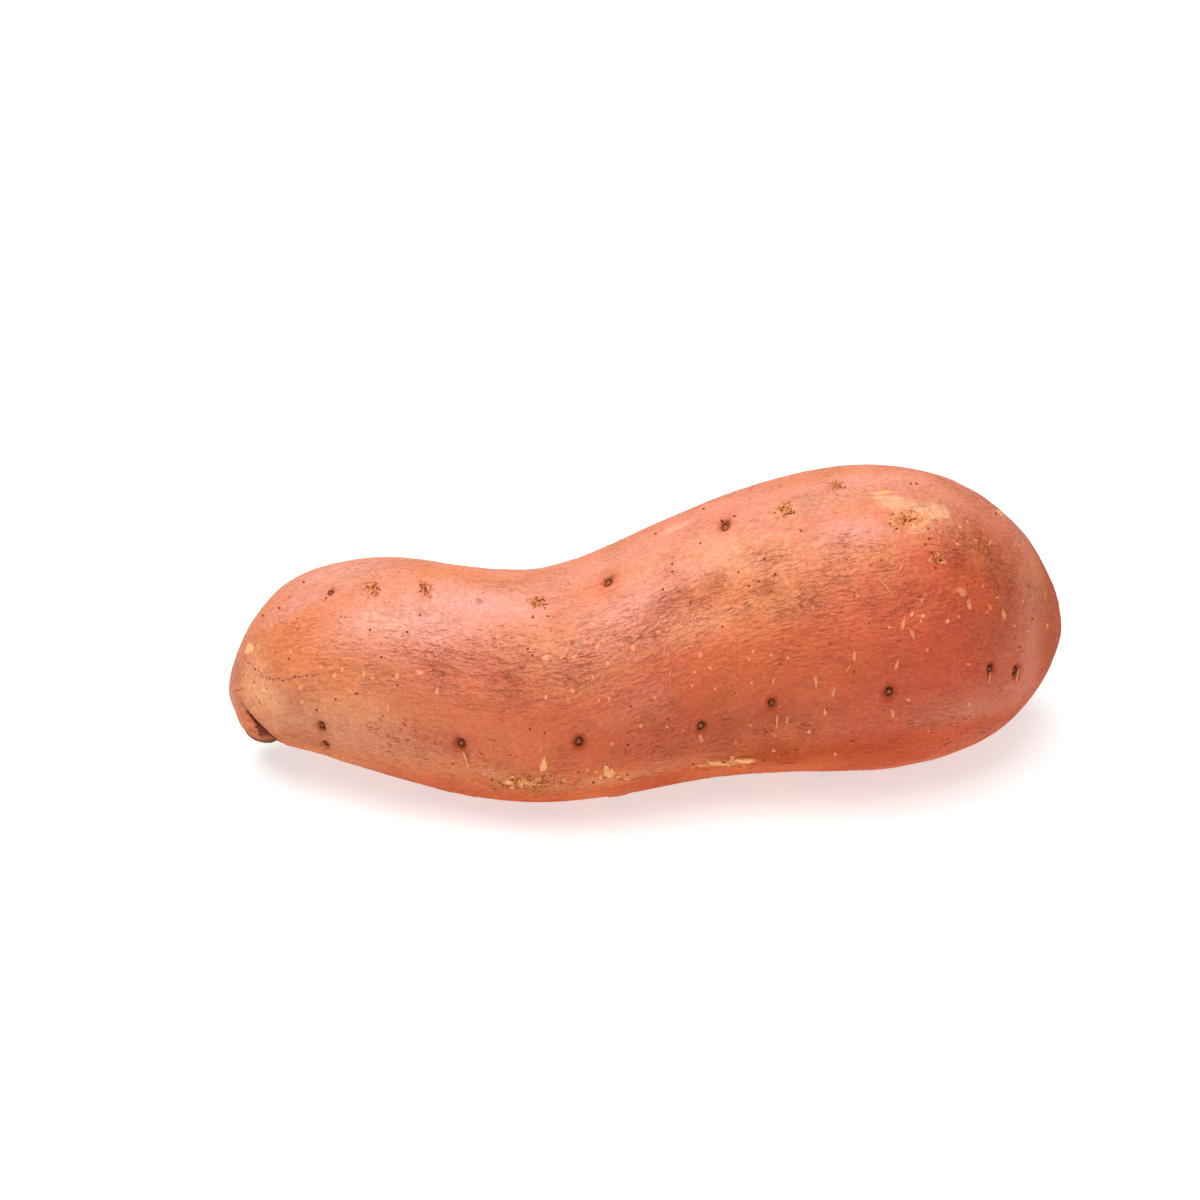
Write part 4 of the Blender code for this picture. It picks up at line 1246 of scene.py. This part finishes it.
def crust_seats(share, seed, larger=1.0):
    """Seats of a share of the crumbs of each crust, larger or smaller than usual."""
    rng = np.random.default_rng(seed)
    pixels = []
    for column, row, half_wide, half_tall, count in CRUSTS:
        count = round(count * share)
        away = np.clip(rng.normal(0, 0.5, (count, 2)), -1, 1) * (half_wide, half_tall) + (column, row)
        wide = larger * rng.uniform(1.5, 5.5, count)
        tall = larger * rng.uniform(1.2, 2.8, count)
        pixels += zip(*away.T, wide, tall, rng.normal(0, 25, count))
    return pixel_seats(pixels, CRUMB_HEIGHT, seed + 1)


def together(*seats):
    """Seats of two kinds in one list."""
    return np.concatenate(seats)


def make_spots():
    """All that lies on the skin in small lumps."""
    pale = cork_material("pale_cork", 0.6, 0.10)
    dark = cork_material("dark_cork", 0.85, 0.35)
    pits = PIT_EYES + BACK_EYES
    dots = together(pixel_seats(DOTS, 0.20, 51), random_seats(230, 52, (0.20, 0.50), 1.6, (0.08, 0.16)))
    spots("pale_dots", dots, DOT_PALE, pale, 2, 1.0, 0.9)
    dashes = together(pixel_seats(DASHES, 0.20, 54), random_seats(26, 55, (0.22, 0.40), 4.0, (0.08, 0.16)))
    spots("pale_dashes", dashes, DASH_PALE, pale, 2, 0.8, 0.6)
    flakes = together(pixel_seats(FLAKES, 0.18, 57), random_seats(8, 58, (0.4, 0.9), 1.8, (0.1, 0.16)))
    spots("flakes", flakes, FLAKE_PALE, pale, 8, 0.7, 0.25, columns=32, ragged=0.10)
    flakes = crust_seats(0.5, 78, 1.6)
    spots("crust_flakes", flakes, CRUST_TAN, dark, 6, 0.7, 0.35, columns=20, ragged=0.14)
    flakes = together(pixel_seats(GREY_FLAKES, 0.16, 59), random_seats(8, 60, (0.4, 0.9), 1.6, (0.1, 0.16)))
    spots("grey_flakes", flakes, FLAKE_GREY, pale, 8, 0.7, 0.4, columns=28, ragged=0.09)
    grains = [(column, row, 3.0, 3.0) for column, row in GRAINS]
    grains = together(pixel_seats(grains, 0.14, 61), random_seats(110, 62, (0.10, 0.26), 1.6, (0.06, 0.14)))
    spots("dark_grains", grains, GRAIN_BROWN, dark, 2, 0.6, 0.35)
    # Painted shade: dark ribbons over the cracks, a share of the skin's own colour
    spots("cracks", crack_seats(72), CRACK_SHADE, dark, 2, 0.5, 0.9, shades=True, bow=0.4)
    spots("scratch", line_seats(SCRATCH, 1.5, (0.10, 0.26), 64), SCRATCH_DARK, dark, 2, 0.5, 0.3)
    crumbs = together(crumbs_round(CORK_EYES, 26, 1.5, (0.18, 0.50), 66), crust_seats(0.6, 74))
    spots("cork_crumbs_tan", crumbs, CRUMB_TAN, dark, 2, 0.5, 0.4)
    crumbs = together(crumbs_round(BROWN_EYES, 22, 1.5, (0.14, 0.40), 67), crust_seats(0.4, 76))
    spots("cork_crumbs_brown", crumbs, CRUMB_BROWN, dark, 2, 0.5, 0.4)
    crumbs = together(crumbs_round(BROWN_EYES, 9, 1.2, (0.12, 0.28), 70),
                      crumbs_round(pits, 8, 0.8, (0.12, 0.26), 68))
    spots("cork_crumbs_dark", crumbs, CORK_DARK, dark, 2, 0.5, 0.2)
    plugs = together(plug_seats(pits, 79), crumbs_round(pits, 4, 0.35, (0.12, 0.24), 69))
    spots("eye_plugs", plugs, EYE_CENTRE, dark, 2, 0.5, 0.3)
    spots("eye_rims", rim_seats(pits, 80), EYE_RIM, dark, 2, 0.5, 0.3)


# Rootlets that lie on the skin: pixels from root to tip, thickness in millimetres
ROOTLETS = (
    (((878, 578), (885, 586), (895, 598)), 0.34),
    (((462, 750), (465, 756), (467, 763), (468, 770)), 0.62),
    (((777, 713), (777, 721), (776, 728)), 0.45),
    (((1019, 668), (1017, 676), (1016, 684)), 0.50),
    (((991, 672), (989, 679), (988, 684)), 0.45),
)
ROOTLET_STEPS = 16
ROOTLET_SIDES = 8
TIP_RADIUS = 0.01


def rootlet_paths():
    """The line of each rootlet as reach and around, and its thickness: the photograph's, then some more."""
    paths = []
    for pixels, thick in ROOTLETS:
        corners = np.array([place_of(*p) for p in pixels])
        share = np.linspace(0, len(corners) - 1, ROOTLET_STEPS)
        line = np.stack([np.interp(share, np.arange(len(corners)), corners[:, i]) for i in (0, 1)], 1)
        paths.append((line, thick))
    rng = np.random.default_rng(71)
    for eye_reach, eye_around, size in BACK_EYES[::2]:
        share = np.linspace(0, 1, ROOTLET_STEPS)
        length = rng.uniform(3, 8)
        lean = rng.normal(0, 0.5)
        reach = eye_reach + length * share * math.sin(lean) + 0.5 * np.sin(3 * share + lean)
        radius = radius_at(eye_reach)
        around = math.radians(eye_around) + length * share * math.cos(lean) / radius
        paths.append((np.stack([reach, around], 1), rng.uniform(0.25, 0.42)))
    return paths


def make_rootlets():
    """Dried side roots: thin tubes that leave the skin a little, taper and end in a point."""
    material = cork_material("rootlet", 0.7, 0.2)
    share = np.linspace(0, 1, ROOTLET_STEPS)
    turn = 2 * math.pi * np.arange(ROOTLET_SIDES) / ROOTLET_SIDES
    points, faces, tints = [], [], []
    for line, thick in rootlet_paths():
        lift = 0.25 * thick + 0.15 * np.sin(math.pi * share) - 0.5 * thick * share ** 3
        centre = skin_points(line[:, 0], line[:, 1], lift)
        ahead = np.gradient(centre, axis=0)
        out = outward(line[:, 0], line[:, 1])
        side = np.cross(ahead, out)
        side /= np.linalg.norm(side, axis=1)[:, None]
        radius = thick / 2 * (1 - 0.75 * share ** 2) * (1 + 0.12 * np.sin(9 * share + thick * 40))
        radius[-1] = TIP_RADIUS
        ring = np.cos(turn)[None, :, None] * out[:, None] + np.sin(turn)[None, :, None] * side[:, None]
        faces.append(ring_faces(ROOTLET_STEPS, ROOTLET_SIDES) + sum(len(p) for p in points))
        points.append((centre[:, None] + radius[:, None, None] * ring).reshape(-1, 3))
        base = blend(ROOTLET_PALE, CRUMB_TAN, smooth(1 - 2 * share))
        tints.append(np.repeat(base, ROOTLET_SIDES, axis=0))
    points = np.concatenate(points)
    points[:, 2] = np.maximum(points[:, 2], 0)
    faces = np.concatenate(faces).tolist()
    make_piece("rootlets", points, faces, np.concatenate(tints), material)


BARK_COLUMNS = 90
BARK_ROWS = 7
# The collar of bark: reach of its foot, its length, how deep its foot sits, how far it curls out, and how
# much its length and its curl vary
BARK_FOOT = 5.4
BARK_LENGTH = 3.2
BARK_SUNK = 0.05
BARK_CURL = 0.30
BARK_RAGGED = (0.25, 0.6)


def make_stem_bark():
    """The torn bark round the cut end: a collar over the rim whose free edge is ragged and curls out.

    At share s from its foot to its edge and at angle a, it lies at reach foot - length x s x (1 + noise
    of a), and it stands curl x s^2 x (1 + noise of a) - sunk off the skin.
    """
    angles = 2 * math.pi * np.arange(BARK_COLUMNS) / BARK_COLUMNS
    s, a = (g.ravel() for g in np.meshgrid(np.linspace(0, 1, BARK_ROWS), angles, indexing="ij"))
    circle = np.stack([6 * np.cos(a), 6 * np.sin(a), 0 * a], 1)
    ragged = noise(circle, 81) + 0.6 * noise(circle * 2.6, 82)
    reach = BARK_FOOT - BARK_LENGTH * s * (1 + BARK_RAGGED[0] * ragged)
    lift = BARK_CURL * s ** 2 * (1 + BARK_RAGGED[1] * ragged) - BARK_SUNK
    points = skin_points(reach, a, lift)
    tint = blend(SCAR_EDGE, SCAR_BROWN * 1.6, 0.5 + 0.5 * ragged)
    tint = blend(skin_tint(reach, a), tint, smooth(s * 3))
    faces = ring_faces(BARK_ROWS, BARK_COLUMNS)[:, ::-1].tolist()
    make_piece("stem_bark", points, faces, tint, cork_material("bark", 0.9, 0.35))


# Floor, light and camera

# The stage, in metres
FLOOR_SIDE = 6.0
FLOOR_GREY = 0.62
FLOOR_GLOW = 0.58
SOFTBOX_PLACE = (-0.14, -0.10, 0.95)
SOFTBOX_AIM = (0, 0, 0.02)
SOFTBOX_SIZE = (1.0, 0.8)
SOFTBOX_POWER = 12.2
SURROUND_STRENGTH = 0.30


def make_floor():
    """A large pale floor under the part."""
    mesh = bpy.data.meshes.new("floor")
    half = FLOOR_SIDE / 2
    corners = [(-half, -half, 0), (half, -half, 0), (half, half, 0), (-half, half, 0)]
    mesh.from_pydata(corners, [], [(0, 1, 2, 3)])
    material, tree, shader = new_material("floor")
    shader.inputs["Base Color"].default_value = (FLOOR_GREY, FLOOR_GREY, FLOOR_GREY, 1)
    shader.inputs["Emission Color"].default_value = (1, 1, 1, 1)
    shader.inputs["Emission Strength"].default_value = FLOOR_GLOW
    shader.inputs["Roughness"].default_value = 0.9
    shader.inputs["Specular IOR Level"].default_value = 0.0
    mesh.materials.append(material)
    floor = bpy.data.objects.new("floor", mesh)
    bpy.context.scene.collection.objects.link(floor)


def make_light(name, place, aim, size, power):
    """A square soft light at a place in metres, turned to a point."""
    lamp = bpy.data.lights.new(name, "AREA")
    lamp.shape = "RECTANGLE"
    lamp.size, lamp.size_y = size
    lamp.energy = power
    light = bpy.data.objects.new(name, lamp)
    light.location = place
    way = Vector(aim) - Vector(place)
    light.rotation_euler = way.to_track_quat("-Z", "Y").to_euler()
    bpy.context.scene.collection.objects.link(light)


def make_camera():
    """The camera where the photograph was taken from."""
    lens = bpy.data.cameras.new("camera")
    lens.lens = LENS
    lens.sensor_width = SENSOR
    camera = bpy.data.objects.new("camera", lens)
    camera.location = CAMERA_PLACE * MM
    camera.rotation_euler = (math.radians(90 - CAMERA_LOOKS_DOWN), 0, 0)
    bpy.context.scene.collection.objects.link(camera)
    bpy.context.scene.camera = camera


def make_world():
    """An even white surround."""
    world = bpy.data.worlds.new("surround")
    world.use_nodes = True
    background = world.node_tree.nodes["Background"]
    background.inputs["Color"].default_value = (1, 1, 1, 1)
    background.inputs["Strength"].default_value = SURROUND_STRENGTH
    bpy.context.scene.world = world


make_skin()
make_spots()
make_rootlets()
make_stem_bark()
make_floor()
make_light("softbox", SOFTBOX_PLACE, SOFTBOX_AIM, SOFTBOX_SIZE, SOFTBOX_POWER)
make_world()
make_camera()
bpy.context.scene.view_settings.view_transform = "Standard"
